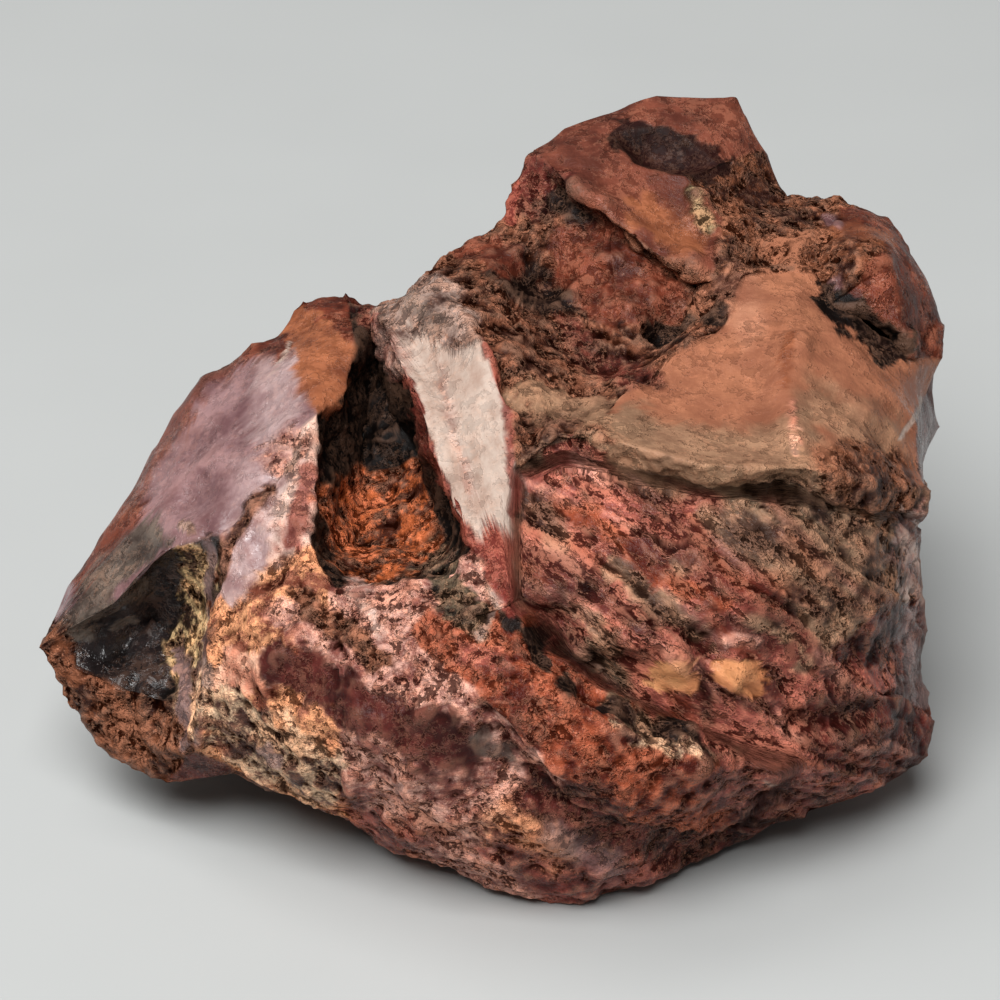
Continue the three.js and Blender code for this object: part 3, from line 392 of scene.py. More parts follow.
# Each mineral: its two tones as sRGB bytes, and how glossy, gritty and pitted it breaks, from 0 to 1.
MINERALS = {
    "lavender": ((150, 116, 116), (100, 68, 70), 0.8, 0.1, 0.02),
    "lilac": ((176, 150, 148), (132, 102, 102), 0.8, 0.1, 0.0),
    "ash": ((108, 96, 86), (56, 46, 41), 0.6, 0.25, 0.05),
    "tan": ((158, 94, 62), (108, 58, 38), 0.6, 0.15, 0.03),
    "russet": ((120, 58, 40), (66, 28, 20), 0.5, 0.4, 0.1),
    "terracotta": ((122, 66, 50), (80, 40, 31), 0.5, 0.25, 0.05),
    "sand": ((164, 106, 78), (136, 84, 62), 0.5, 0.15, 0.02),
    "khaki": ((160, 125, 98), (118, 88, 68), 0.45, 0.25, 0.05),
    "brown": ((120, 72, 51), (54, 27, 18), 0.35, 0.95, 0.9),
    "bronze": ((114, 66, 43), (48, 23, 16), 0.4, 0.95, 0.7),
    # near-black: dark brown stone with the painted shade of the pocket and the cave in it
    "umber": ((15, 8, 6), (7, 4, 3), 0.15, 0.2, 0.6),
    "ember": ((192, 100, 56), (66, 30, 18), 0.4, 1.0, 0.6),
    # near-black glassy stone of the den, darkened with painted shade
    "pitch": ((38, 31, 31), (14, 11, 11), 0.9, 0.12, 0.0),
    # near-black, laid as painted shade in holes, pits, cracks, the groove, under the ledge and in the cave
    "painted_shade": ((34, 20, 16), (12, 7, 6), 0.3, 0.4, 0.3),
    "gilt": ((244, 206, 152), (44, 29, 22), 0.5, 1.0, 0.7),
    "cream": ((188, 169, 156), (162, 136, 122), 0.55, 0.1, 0.0),
    # pale pink stone, and also laid as painted light on the right rim
    "blush": ((214, 184, 170), (156, 108, 96), 0.55, 0.5, 0.1),
    # pale grain, and also laid as painted glints on the flank and the shoulder
    "chalk": ((164, 138, 126), (78, 54, 47), 0.5, 0.6, 0.3),
    "celadon": ((160, 142, 106), (54, 40, 28), 0.4, 1.0, 0.6),
    "rose": ((140, 62, 52), (88, 32, 27), 0.5, 0.4, 0.05),
    "salmon": ((232, 180, 152), (176, 114, 92), 0.5, 0.6, 0.1),
    "amber": ((214, 152, 104), (182, 116, 76), 0.5, 0.2, 0.0),
    "rust": ((154, 74, 47), (78, 27, 18), 0.5, 0.7, 0.3),
    "maroon": ((152, 80, 68), (78, 34, 28), 0.55, 0.75, 0.15),
    "oxblood": ((100, 43, 36), (46, 18, 15), 0.5, 0.6, 0.3),
    "wine": ((40, 14, 11), (20, 7, 5), 0.2, 0.1, 0.0),
    "plum": ((90, 39, 34), (48, 18, 16), 0.5, 0.3, 0.1),
    "mauve": ((208, 158, 142), (120, 68, 60), 0.5, 0.85, 0.3),
    "slate": ((136, 110, 108), (78, 54, 52), 0.65, 0.35, 0.05),
    "olive": ((144, 113, 90), (70, 49, 40), 0.45, 0.75, 0.3),
    "moss": ((104, 88, 70), (24, 18, 15), 0.4, 0.9, 0.6),
    "straw": ((222, 186, 152), (70, 43, 36), 0.5, 1.0, 0.6),
    "ochre": ((224, 158, 114), (110, 56, 40), 0.5, 0.95, 0.4),
}
# These keep a clean line against their neighbours. The others run into each other.
CLEAN = ("lavender", "tan", "terracotta", "sand", "pitch", "cream", "umber", "slate", "wine")

# Stains over the front, some of them painted shade and painted highlights: mineral, strength, half width in
# mm, and the line that each follows, across and up.
STAINS = [
    # the flank, the tip and the shoulder
    ("russet", 0.8, 1.0, ((-21.2, -0.3), (-23.4, -4.4))),
    ("ash", 0.85, 1.0, ((-19.7, -1.9), (-22.0, -4.0), (-23.4, -6.2), (-24.0, -7.3))),
    ("bronze", 0.9, 1.0, ((-25.6, -7.4), (-24.9, -8.8))),
    # painted glint on the flank
    ("chalk", 0.9, 0.3, ((-17.9, -1.4), (-17.5, -1.6))),
    ("terracotta", 0.7, 0.9, ((-22.6, -2.0), (-19.6, 2.8), (-17.0, 6.6), (-13.6, 8.9))),
    ("lilac", 0.9, 1.5, ((-12.2, 7.4), (-12.8, 4.6))),
    ("lilac", 0.6, 1.6, ((-13.4, 1.4), (-14.4, -1.4))),
    ("tan", 0.9, 1.3, ((-10.4, 9.2), (-10.0, 6.2))),
    ("russet", 0.8, 0.8, ((-13.6, 8.6), (-12.4, 8.6))),
    ("cream", 0.7, 0.12, ((-11.9, 8.9), (-12.4, 7.2))),
    ("brown", 0.75, 0.45, ((-13.2, 0.6), (-14.6, -1.7), (-15.9, -4.3))),
    ("lilac", 0.75, 0.8, ((-13.8, -2.5), (-15.0, -5.0))),
    ("rose", 0.7, 0.6, ((-10.8, 1.6), (-11.5, -2.6))),
    ("mauve", 0.6, 0.9, ((-12.6, 2.4), (-11.4, 3.0))),
    # painted glint on the shoulder
    ("chalk", 0.7, 0.35, ((-11.6, 2.8), (-11.9, 1.8))),
    # the pocket and the den
    ("oxblood", 0.8, 0.8, ((-7.6, 10.9), (-6.9, 9.6))),
    ("ember", 0.9, 1.6, ((-8.6, -0.2), (-7.8, -2.6), (-5.6, -2.4))),
    ("ash", 0.9, 0.3, ((-23.8, -6.8), (-21.5, -6.1), (-20.0, -4.9))),
    ("ash", 0.8, 0.2, ((-21.8, -7.3), (-20.6, -6.7))),
    ("gilt", 0.9, 0.9, ((-17.2, -3.4), (-17.2, -6.4), (-17.9, -9.0))),
    ("slate", 0.8, 0.25, ((-16.4, -2.0), (-16.5, -8.0), (-17.3, -10.5))),
    # the gritty patch and the belly
    ("mauve", 0.8, 1.2, ((-11.6, -6.8), (-9.4, -8.4), (-7.6, -10.0))),
    ("ochre", 1.0, 0.9, ((-15.6, -6.6), (-13.6, -7.2), (-13.0, -8.6))),
    ("straw", 0.9, 1.8, ((-16.6, -11.0), (-14.0, -13.4), (-10.4, -15.4))),
    ("salmon", 0.95, 1.0, ((-15.2, -9.4), (-12.8, -9.4))),
    ("rust", 0.8, 0.7, ((-11.8, -8.8), (-9.6, -11.0), (-7.4, -12.2))),
    ("chalk", 0.8, 0.4, ((-16.8, -9.2), (-16.3, -10.2))),
    ("slate", 0.7, 0.4, ((-13.4, -14.2), (-12.4, -14.6))),
    ("slate", 0.85, 0.5, ((-17.9, -8.6), (-17.6, -13.4))),
    ("plum", 1.0, 1.5, ((-11.8, -9.4), (-8.6, -11.2), (-4.6, -12.9), (-2.4, -14.0))),
    ("mauve", 0.8, 1.8, ((-6.6, -15.2), (-1.6, -17.4))),
    ("ash", 0.7, 0.6, ((-1.2, -13.6), (0.4, -14.6))),
    ("ochre", 0.5, 1.2, ((0.0, -17.8), (3.6, -19.6))),
    ("slate", 0.5, 1.0, ((3.2, -18.8), (6.2, -20.4))),
    ("mauve", 0.7, 1.2, ((-3.6, -19.8), (1.2, -21.8))),
    ("rose", 0.6, 0.6, ((2.2, -21.2), (3.8, -21.9))),
    # under the pocket
    ("brown", 0.9, 0.7, ((-11.0, -5.7), (-9.4, -6.8), (-8.2, -7.8), (-6.9, -9.0))),
    ("blush", 0.9, 1.0, ((-7.9, -5.2), (-6.6, -6.6))),
    ("mauve", 0.8, 1.0, ((-6.6, -5.6), (-5.0, -7.2))),
    ("moss", 0.95, 1.1, ((-3.4, -3.6), (-2.6, -5.4), (-1.9, -7.2))),
    ("chalk", 0.9, 0.22, ((-0.7, -4.8), (-0.3, -6.2), (-1.2, -7.6))),
    # the rust band and the groove
    ("rust", 0.9, 1.1, ((-4.0, -7.4), (0.4, -10.6), (3.8, -13.6), (7.6, -16.2), (11.0, -17.0))),
    ("maroon", 0.7, 0.8, ((-2.0, -8.6), (0.2, -9.0))),
    ("mauve", 0.8, 0.3, ((-7.0, -10.6), (-2.2, -11.4), (1.0, -13.6), (3.2, -15.6))),
    ("moss", 0.8, 0.6, ((6.2, -11.4), (9.6, -13.0), (12.8, -14.0))),
    # painted shade in the groove's dark holes
    ("painted_shade", 1.0, 0.5, ((0.3, -6.2), (0.9, -6.9))),
    ("painted_shade", 1.0, 0.6, ((2.0, -7.5), (2.6, -9.0))),
    ("olive", 0.7, 0.7, ((3.4, -5.6), (6.2, -8.2))),
    ("moss", 0.7, 0.5, ((4.8, -8.6), (8.6, -11.2))),
    # painted shade in the groove's dark holes
    ("painted_shade", 1.0, 0.55, ((3.5, -10.2), (4.0, -10.5))),
    ("painted_shade", 1.0, 0.5, ((6.2, -11.5), (7.5, -12.1))),
    ("painted_shade", 1.0, 0.5, ((9.3, -12.6), (10.7, -13.2))),
    ("straw", 0.8, 0.5, ((6.6, -12.6), (8.8, -13.6), (11.0, -14.3))),
    # the bedded face
    ("maroon", 0.9, 0.9, ((3.8, 2.5), (6.6, 1.7), (9.6, 0.6))),
    ("mauve", 0.5, 0.6, ((4.6, 2.2), (5.8, 1.2))),
    ("oxblood", 0.9, 0.9, ((7.2, 1.4), (10.2, 0.4))),
    # painted shade under the ledge
    ("painted_shade", 0.8, 0.4, ((9.2, 1.7), (11.2, 1.3))),
    ("chalk", 0.8, 0.4, ((10.6, 0.9), (11.2, 0.7))),
    ("moss", 0.6, 0.9, ((12.2, 0.2), (15.6, 0.2), (18.4, -1.0))),
    ("bronze", 0.7, 1.3, ((19.2, 1.0), (22.2, -0.6))),
    ("olive", 0.9, 1.8, ((20.0, -2.6), (22.0, -4.6))),
    ("rust", 0.9, 0.6, ((3.3, -0.1), (5.5, -1.4), (7.9, -3.4), (10.1, -4.9), (12.2, -5.8))),
    ("olive", 0.6, 1.0, ((2.0, -0.4), (3.4, -2.6))),
    ("mauve", 0.3, 1.5, ((3.4, -3.6), (4.6, -5.8))),
    ("olive", 0.85, 0.7, ((6.2, -3.9), (8.2, -5.4), (9.8, -6.6), (12.0, -7.9))),
    ("plum", 0.9, 0.9, ((12.6, -7.6), (16.4, -8.6))),
    ("mauve", 0.7, 0.4, ((12.9, -7.8), (14.0, -8.0))),
    ("maroon", 0.9, 2.1, ((12.8, -12.0), (17.8, -12.4))),
    ("maroon", 0.9, 1.4, ((12.8, -16.0), (20.4, -15.8))),
    ("oxblood", 0.95, 1.9, ((18.6, -12.9), (23.6, -13.2))),
    ("maroon", 0.8, 1.6, ((9.0, -10.2), (14.6, -10.2))),
    ("amber", 1.0, 0.95, ((9.2, -9.9), (10.4, -9.9))),
    ("amber", 1.0, 0.85, ((13.0, -9.8), (14.4, -10.1))),
    ("oxblood", 0.9, 0.3, ((11.4, -8.3), (11.7, -12.6))),
    ("oxblood", 1.0, 0.9, ((20.4, -8.6), (22.2, -7.8))),
    ("slate", 0.95, 0.6, ((22.7, -6.4), (23.4, -9.0), (23.4, -11.2))),
    # painted light on the right rim, paler as if lit from behind
    ("blush", 0.95, 0.7, ((22.9, -0.8), (23.3, -5.0))),
    ("chalk", 0.8, 0.22, ((14.8, -15.5), (15.6, -15.7))),
    # the crest, the hollow and the knob
    ("tan", 0.8, 1.1, ((8.2, 16.0), (10.6, 14.4))),
    ("celadon", 0.7, 0.45, ((10.8, 17.3), (11.5, 15.4))),
    ("oxblood", 0.8, 1.2, ((1.2, 18.2), (3.6, 17.2))),
    ("rose", 0.8, 0.4, ((0.5, 18.0), (0.5, 15.9))),
    # painted shade in the hollow's recesses and pits and under the ridge
    ("painted_shade", 0.95, 1.4, ((0.4, 12.7), (2.9, 11.4))),
    ("painted_shade", 0.8, 0.5, ((2.6, 17.2), (4.4, 15.7), (6.4, 14.2))),
    ("painted_shade", 0.75, 0.35, ((3.6, 14.2), (3.2, 11.2), (5.6, 10.2), (8.2, 10.4))),
    ("oxblood", 0.7, 1.0, ((3.8, 9.2), (6.0, 7.6), (8.2, 7.0))),
    ("wine", 1.0, 1.0, ((7.0, 20.5), (9.6, 19.6), (12.2, 18.8))),
    ("russet", 0.8, 0.9, ((-1.6, 14.0), (0.4, 13.4))),
    ("russet", 0.9, 2.0, ((4.6, 13.4), (8.0, 11.4))),
    # painted shade in small holes
    ("painted_shade", 1.0, 0.7, ((8.7, 9.5), (9.8, 9.2))),
    ("painted_shade", 0.9, 0.4, ((10.6, 9.7), (12.5, 10.3))),
    ("tan", 0.6, 0.8, ((18.8, 15.0), (21.6, 14.4))),
    ("lavender", 0.6, 0.3, ((18.4, 15.6), (19.0, 15.2))),
    ("lavender", 0.6, 0.3, ((18.8, 12.2), (19.2, 11.2))),
    # painted shade in the knob's cave
    ("painted_shade", 1.0, 1.1, ((18.6, 10.9), (20.4, 9.6), (21.9, 8.4))),
    # the slab
    ("salmon", 0.3, 1.2, ((13.2, 12.2), (14.2, 9.6))),
    ("khaki", 0.7, 0.9, ((1.4, 6.0), (4.6, 4.8), (8.0, 4.2))),
    ("khaki", 0.7, 2.0, ((8.0, 2.8), (12.0, 2.2), (16.0, 2.6))),
    ("khaki", 0.6, 1.6, ((17.8, 5.4), (21.4, 3.4))),
    ("bronze", 0.6, 1.2, ((19.6, 2.6), (22.4, 1.4))),
    ("tan", 0.95, 0.3, ((16.2, 8.8), (15.8, 6.2))),
    ("salmon", 0.8, 0.2, ((16.4, 5.2), (16.6, 2.6))),
    ("cream", 0.8, 0.12, ((23.7, 5.7), (22.5, 3.4))),
    # the vein
    ("rose", 0.8, 0.28, ((-7.0, 10.6), (-6.1, 8.5), (-4.8, 5.8), (-4.0, 2.6), (-2.7, -0.3), (-1.3, -2.9))),
    ("rose", 0.7, 0.25, ((-1.0, 9.0), (0.4, 5.2), (0.7, 1.6), (0.7, -1.0))),
    ("rose", 0.9, 0.9, ((-0.4, -2.3), (0.3, -4.0), (0.7, -5.6))),
    # painted shadow of the crack along the vein's right edge
    ("painted_shade", 0.6, 0.2, ((1.0, 1.8), (1.4, 0.2), (1.0, -1.8), (1.5, -3.6), (1.2, -5.2))),
    ("blush", 0.6, 0.6, ((-6.4, 9.8), (-5.4, 7.6))),
    ("chalk", 0.95, 1.4, ((-5.6, 10.8), (-2.6, 9.6))),
    ("ash", 0.5, 0.8, ((-4.8, 10.9), (-3.4, 9.6))),
    ("blush", 0.5, 0.3, ((-3.4, 7.2), (-2.6, 3.4), (-1.6, 0.4))),
]

# Beds of other minerals within the bedded stone: mineral, strength, fineness, the noise at which it starts to
# show and at which it is full, and its seed.
INNER_BEDS = [
    ("oxblood", 0.8, 1.0, 0.0, 0.35, 301),
    ("mauve", 0.35, 1.9, 0.2, 0.5, 302),
    ("rust", 0.4, 1.3, 0.3, 0.5, 303),
]


# ---------------------------------------------------------------- noise and distances, as whole arrays

def cell_value(i, j, k):
    """A random number from 0 to 1 for each cell of space, by the solid's own rule."""
    mixed = np.sin(i * 127.1 + j * 311.7 + k * 74.7) * 43758.5453
    return mixed - np.floor(mixed)


def corner_shares(ease):
    """The eight corners of a cell, each with its share of what lies at ease along the cell's three axes."""
    for corner in itertools.product((0, 1), repeat=3):
        yield corner, np.prod(np.where(corner, ease, 1 - ease), axis=1)


def swell_noise(p, size):
    """The solid's own noise, -1 to 1: values at a cell's corners, blended by a smooth step on each axis."""
    low = np.floor(p / size)
    ease = p / size - low
    ease = ease * ease * (3 - 2 * ease)
    total = np.zeros(len(p))
    for corner, share in corner_shares(ease):
        total += share * cell_value(*(low + corner).T)
    return 2 * total - 1


def hashed(cells, seed):
    """Three random numbers from 0 to 1 for each whole-numbered cell: its numbers mixed as bits."""
    i, j, k = (column.astype(np.uint32) for column in cells.astype(np.int64).T)
    mixed = i * np.uint32(73856093) ^ j * np.uint32(19349663) ^ k * np.uint32(83492791)
    mixed ^= np.uint32((seed * 2654435761 + 97) % 2 ** 32)
    for shift in (16, 13, 16):
        mixed = (mixed ^ (mixed >> np.uint32(shift))) * np.uint32(0x45D9F3B)
    parts = [(mixed >> np.uint32(bits)) & np.uint32(1023) for bits in (0, 11, 21)]
    return np.stack(parts, axis=1) / 1023.0


def noise(p, size, seed=0):
    """Gradient noise, about -1 to 1: each cell corner slopes its own way, blended by a fifth-power ease."""
    q = p / size + SEED_SHIFT * seed
    low = np.floor(q)
    local = q - low
    ease = local ** 3 * (local * (local * 6 - 15) + 10)
    total = np.zeros(len(p))
    for corner, share in corner_shares(ease):
        slope = 2 * hashed(low + corner, seed) - 1
        total += share * np.sum(slope * (local - corner), axis=1)
    return NOISE_GAIN * total


def layered(p, size, seed=0, layers=3):
    """Noise summed over layers, each half the size and half the height of the last."""
    return sum(noise(p, size / 2 ** n, seed + n) / 2 ** n for n in range(layers))


def ridged(p, size, seed=0, layers=2):
    """Sharp crests, about -1 to 1: one minus twice the noise without its sign, summed over halving layers."""
    return sum((1 - 2 * np.abs(noise(p, size / 2 ** n, seed + n))) / 2 ** n for n in range(layers)) / 1.5


def saw(x):
    """A saw-tooth from -1 to 1, once for each whole step of x."""
    return 2 * (x - np.floor(x)) - 1


def ramp(x, low, high):
    """Zero below low, one above high, and a smooth step between."""
    t = np.clip((x - low) / (high - low), 0, 1)
    return t * t * (3 - 2 * t)


def gap_to_route(p, route):
    """The gap from each point to a broken line: the least over its pieces, each clamped to its ends."""
    gaps = []
    for start, end in zip(route, route[1:]):
        along = end - start
        t = np.clip((p - start) @ along / (along @ along), 0, 1)
        gaps.append(np.linalg.norm(p - start - t[:, None] * along, axis=1))
    return np.min(gaps, axis=0)


# ---------------------------------------------------------------- the skin

def drawn(corners):
    """True places of points given as across, up and out: what is nearer the drawing's viewer looks larger."""
    corners = np.asarray(corners, float)
    spread = 1 - corners[..., 2:] / EYE_DISTANCE
    return np.concatenate([corners[..., :2] * spread, corners[..., 2:]], axis=-1)


def quilt(cells):
    """All facets as patches, one at each corner of each facet, each a grid in s and t.

    A patch is bilinear between its corner (0, 0), the middles of the two edges that meet there, and the
    facet's middle (1, 1). The crown lifts it outwards by crown * (1 - (1-s)^2) * (1 - (1-t)^2).
    """
    place = dict(zip(CORNERS, drawn(list(CORNERS.values()))))
    s, t = np.meshgrid(np.linspace(0, 1, cells + 1), np.linspace(0, 1, cells + 1), indexing="ij")
    s, t = s[..., None], t[..., None]
    swell = (1 - (1 - s) ** 2) * (1 - (1 - t) ** 2)
    patches, owners = [], []
    for number, (kind, crown, loop) in enumerate(FACETS):
        ring = np.array([place[name] for name in loop.split()])
        middle = ring.mean(0)
        following = np.roll(ring, -1, axis=0)
        outward = np.cross(ring - middle, following - middle).sum(0)
        outward /= np.linalg.norm(outward)
        after = (ring + following) / 2
        before = np.roll(after, 1, axis=0)
        for corner, ahead, behind in zip(ring, after, before):
            flat = (1 - s) * (1 - t) * corner + s * (1 - t) * ahead + (1 - s) * t * behind + s * t * middle
            patches.append(flat + crown * swell * outward)
            owners.append(number)
    points = np.array(patches).reshape(-1, 3)
    border = np.broadcast_to((s == 0) | (t == 0), (len(patches), cells + 1, cells + 1, 1)).reshape(-1)
    owner = np.repeat(owners, (cells + 1) ** 2)
    grid = np.arange(len(points)).reshape(-1, cells + 1, cells + 1)
    quads = np.stack([grid[:, :-1, :-1], grid[:, 1:, :-1], grid[:, 1:, 1:], grid[:, :-1, 1:]], axis=-1)
    return points, quads.reshape(-1, 4), owner, border


def welded(points, quads, owner, border):
    """Joins points at one place, and gives each the share of every kind of facet that meets there."""
    kinds = sorted({kind for kind, _, _ in FACETS})
    kind_of = np.array([kinds.index(kind) for kind, _, _ in FACETS])[owner]
    places = np.round(points * WELD_STEPS)
    _, first, joined = np.unique(places, axis=0, return_index=True, return_inverse=True)
    joined = joined.reshape(-1)
    shares = np.zeros((len(first), len(kinds)))
    np.add.at(shares, (joined, kind_of), 1)
    shares /= shares.sum(1, keepdims=True)
    return points[first], joined[quads], kinds, shares, border[first]


class Net:
    """Which points are joined to which, for means over neighbours."""

    def __init__(self, quads, count):
        ends = np.concatenate([quads[:, [n, (n + 1) % 4]] for n in range(4)])
        self.count = count
        self.a, self.b = np.unique(ends, axis=0).T
        self.degree = np.bincount(self.a, minlength=count)

    def mean(self, values):
        """For each point, the mean over its neighbours."""
        columns = values.reshape(self.count, -1).T
        sums = [np.bincount(self.a, weights=column[self.b], minlength=self.count) for column in columns]
        return (np.array(sums) / self.degree).T.reshape(values.shape)

    def eased(self, values, passes, step=0.5):
        """The values after each pass has moved them by step towards their neighbours' mean."""
        for _ in range(passes):
            values = values + step * (self.mean(values) - values)
        return values


def outward_at(points, quads):
    """Outward directions: the cross product of each quad's diagonals, summed at its corners."""
    face = np.cross(points[quads[:, 2]] - points[quads[:, 0]], points[quads[:, 3]] - points[quads[:, 1]])
    corners = quads.reshape(-1)
    total = [np.bincount(corners, weights=np.repeat(part, 4), minlength=len(points)) for part in face.T]
    total = np.array(total).T
    return total / np.maximum(np.linalg.norm(total, axis=1, keepdims=True), 1e-12)


def carved_share(gap, size):
    """A carved form's share of its depth: (1 - r^2)^2, where r is the gap over the form's reach."""
    reach = np.minimum(1, gap / (CARVED_REACH * size))
    return (1 - reach ** 2) ** 2


def carving(p):
    """How far each point is pushed in by the dents and the seams, summed."""
    depth = np.zeros(len(p))
    for across, up, out, radius, most in DENTS:
        depth += most * carved_share(np.linalg.norm(p - drawn((across, up, out)), axis=1), radius)
    for width, most, route in SEAMS:
        depth += most * carved_share(gap_to_route(p, drawn(route)), width)
    return depth


def bed_height(p, bend=1.0):
    """How many beds lie under each point: its distance across them, bent by noise, over their thickness."""
    tilt = math.radians(BEDS["tilt"])
    across = p[:, 0] * math.sin(tilt) + p[:, 1] * math.cos(tilt)
    return (across + bend * swell_noise(p, LUMPS["size"])) / BEDS["step"]


def broad_relief(p, rough, bedded):
    """The solid's own relief: swells, small breaks, and a saw-tooth step at the edge of each bed."""
    swell = swell_noise(p, LUMPS["size"]) * (LUMPS["smooth"] + (LUMPS["rough"] - LUMPS["smooth"]) * rough)
    chip = 0.5 - 2 * np.abs(swell_noise(p, CHIPS["size"]))
    chips = chip * (CHIPS["smooth"] + (CHIPS["rough"] - CHIPS["smooth"]) * rough)
    return swell + chips + bedded * BEDS["relief"] * saw(bed_height(p))


def pressed(p, direction, share):
    """Places pressed together by a share along a direction, so that noise there is drawn out along it."""
    return p - share * (p @ direction)[:, None] * direction


def along_vein(p):
    """Places in which noise is drawn out along the vein."""
    return pressed(p, np.array(VEIN_RUN), 0.9)


def fine_relief(p, rough, bedded, pitted, streaked):
    """Relief too fine for the solid, in mm: it differs with how the stone breaks.

    Crags, on rough stone, are ridged noise, thinner and lower layer by layer. Plain stone has soft swells
    and shallow chips. A lamina, on bedded stone, is a saw-tooth of the bed height, among ridges drawn out
    down the beds. Holes, where it is pitted, lie between the thin crests of bent ridged noise. Streaks are
    noise drawn out along the vein.
    """
    bent = p + 0.35 * np.stack([noise(p, size=0.9, seed=seed) for seed in (61, 62, 63)], axis=1)
    crags = 0.2 * ridged(bent, size=1.9, seed=11, layers=3) + 0.14 * layered(p, size=0.9, seed=15, layers=2)
    chipped = ramp(noise(p, size=2.2, seed=23), 0.35, 0.6)
    plain = 0.04 * noise(p, size=1.6, seed=21) - 0.08 * chipped
    tilt = math.radians(BEDS["tilt"])
    squeezed = pressed(bent, np.array([math.cos(tilt), -math.sin(tilt), 0]), 0.6)
    lamina = LAMINAE_IN_BED * bed_height(p, FINE_BEND) + 0.35 * noise(p, size=2.4, seed=31)
    shown = ramp(noise(p, size=4.0, seed=33), -0.3, 0.3)
    laminae = 0.09 * shown * saw(lamina)
    laminae += 0.15 * ridged(squeezed, size=1.3, seed=35)
    laminae += 0.08 * layered(p, size=0.8, seed=37, layers=2)
    holes = 0.2 - 0.26 * ridged(bent, size=1.5, seed=41) - 0.1 * ridged(bent, size=0.7, seed=43)
    streaks = 0.05 * noise(along_vein(p), size=0.55, seed=51) + 0.04 * noise(along_vein(p), size=0.3, seed=52)
    height = rough * crags + (1 - rough) * plain + bedded * laminae - pitted * holes
    return height * (1 - streaked) + streaked * (streaks + plain)


def stand(p):
    """Leans the stone back onto its flat spot: z is 0 or more, and the middle of its plan at the origin."""
    lean = math.radians(LEAN)
    y = p[:, 1] * math.sin(lean) - p[:, 2] * math.cos(lean)
    z = p[:, 1] * math.cos(lean) + p[:, 2] * math.sin(lean) + REST_DROP
    return np.stack([p[:, 0] - PLAN_MIDDLE[0], y - PLAN_MIDDLE[1], np.maximum(z, 0)], axis=1)


def fitted(p, box):
    """Stretches the points, by a hair along each axis, so that their box is the solid's own."""
    low, high = (np.array(corner) / MM for corner in box)
    least, most = p.min(0), p.max(0)
    return low + (p - least) * (high - low) / (most - least)


# ---------------------------------------------------------------- what the stone is made of

def facet_minerals(p, net, kinds, shares):
    """The minerals' names, and the share of each at each point, summing to one.

    A facet's mineral spreads over its borders, where noise breaks the line up: little for the clean ones,
    more for the others.
    """
    names = list(MINERALS)
    weights = np.zeros((len(p), len(names)))
    for column, kind in enumerate(kinds):
        weights[:, names.index(kind.split()[1])] += shares[:, column]
    clean = np.isin(names, CLEAN)
    crisp = net.eased(weights, passes=4) ** 2
    crisp /= crisp.sum(1, keepdims=True)
    loose = np.full(weights.shape, 1e-9)
    loose[:, ~clean] += net.eased(weights[:, ~clean], passes=40)
    for column in np.flatnonzero(~clean):
        loose[:, column] *= np.exp(2.2 * layered(p, size=2.6, seed=100 + 3 * column))
    loose **= 1.7
    loose[:, clean] = 0
    loose /= loose.sum(1, keepdims=True)
    return names, np.where(clean, crisp, loose * (1 - crisp[:, clean].sum(1, keepdims=True)))


def stained(p, outward, names, weights):
    """Lays each stain over what faces the front along its own line.

    Its line is bent by noise, and its rim is ragged, and the softer, the weaker the stain is.
    """
    seen = p[:, :2] / (1 - p[:, 2:] / EYE_DISTANCE)
    front = ramp(outward[:, 2], -0.25, 0.0)
    bend = np.stack([layered(p, size=1.5, seed=seed) for seed in (190, 193)], axis=1)
    for number, (name, strength, width, route) in enumerate(STAINS):
        route = np.array(route)
        near = np.flatnonzero((front > 0) & (gap_to_route(seen, route) < 2 * width + 0.6))
        moved = seen[near] + min(0.5, 0.1 + 0.5 * width) * bend[near]
        ragged = 1 + 0.35 * layered(p[near], size=max(0.7, 0.8 * width), seed=200 + number)
        gap = gap_to_route(moved, route) / (width * ragged)
        soft = 1.15 - strength
        share = strength * front[near] * (1 - ramp(gap, 1 - soft, 1 + soft))
        weights[near] *= (1 - share)[:, None]
        weights[near, names.index(name)] += share
    return weights


def veined(p, bedded, names, weights):
    """Runs beds of other minerals through the bedded stone, by noise that changes fast across the beds."""
    level = np.stack([2.3 * bed_height(p, FINE_BEND), 0.09 * p[:, 0], 0.09 * p[:, 1]], axis=1)
    for name, strength, fineness, low, high, seed in INNER_BEDS:
        share = strength * bedded * ramp(noise(level * fineness, size=1.0, seed=seed), low, high)
        weights *= (1 - share)[:, None]
        weights[:, names.index(name)] += share
    return weights


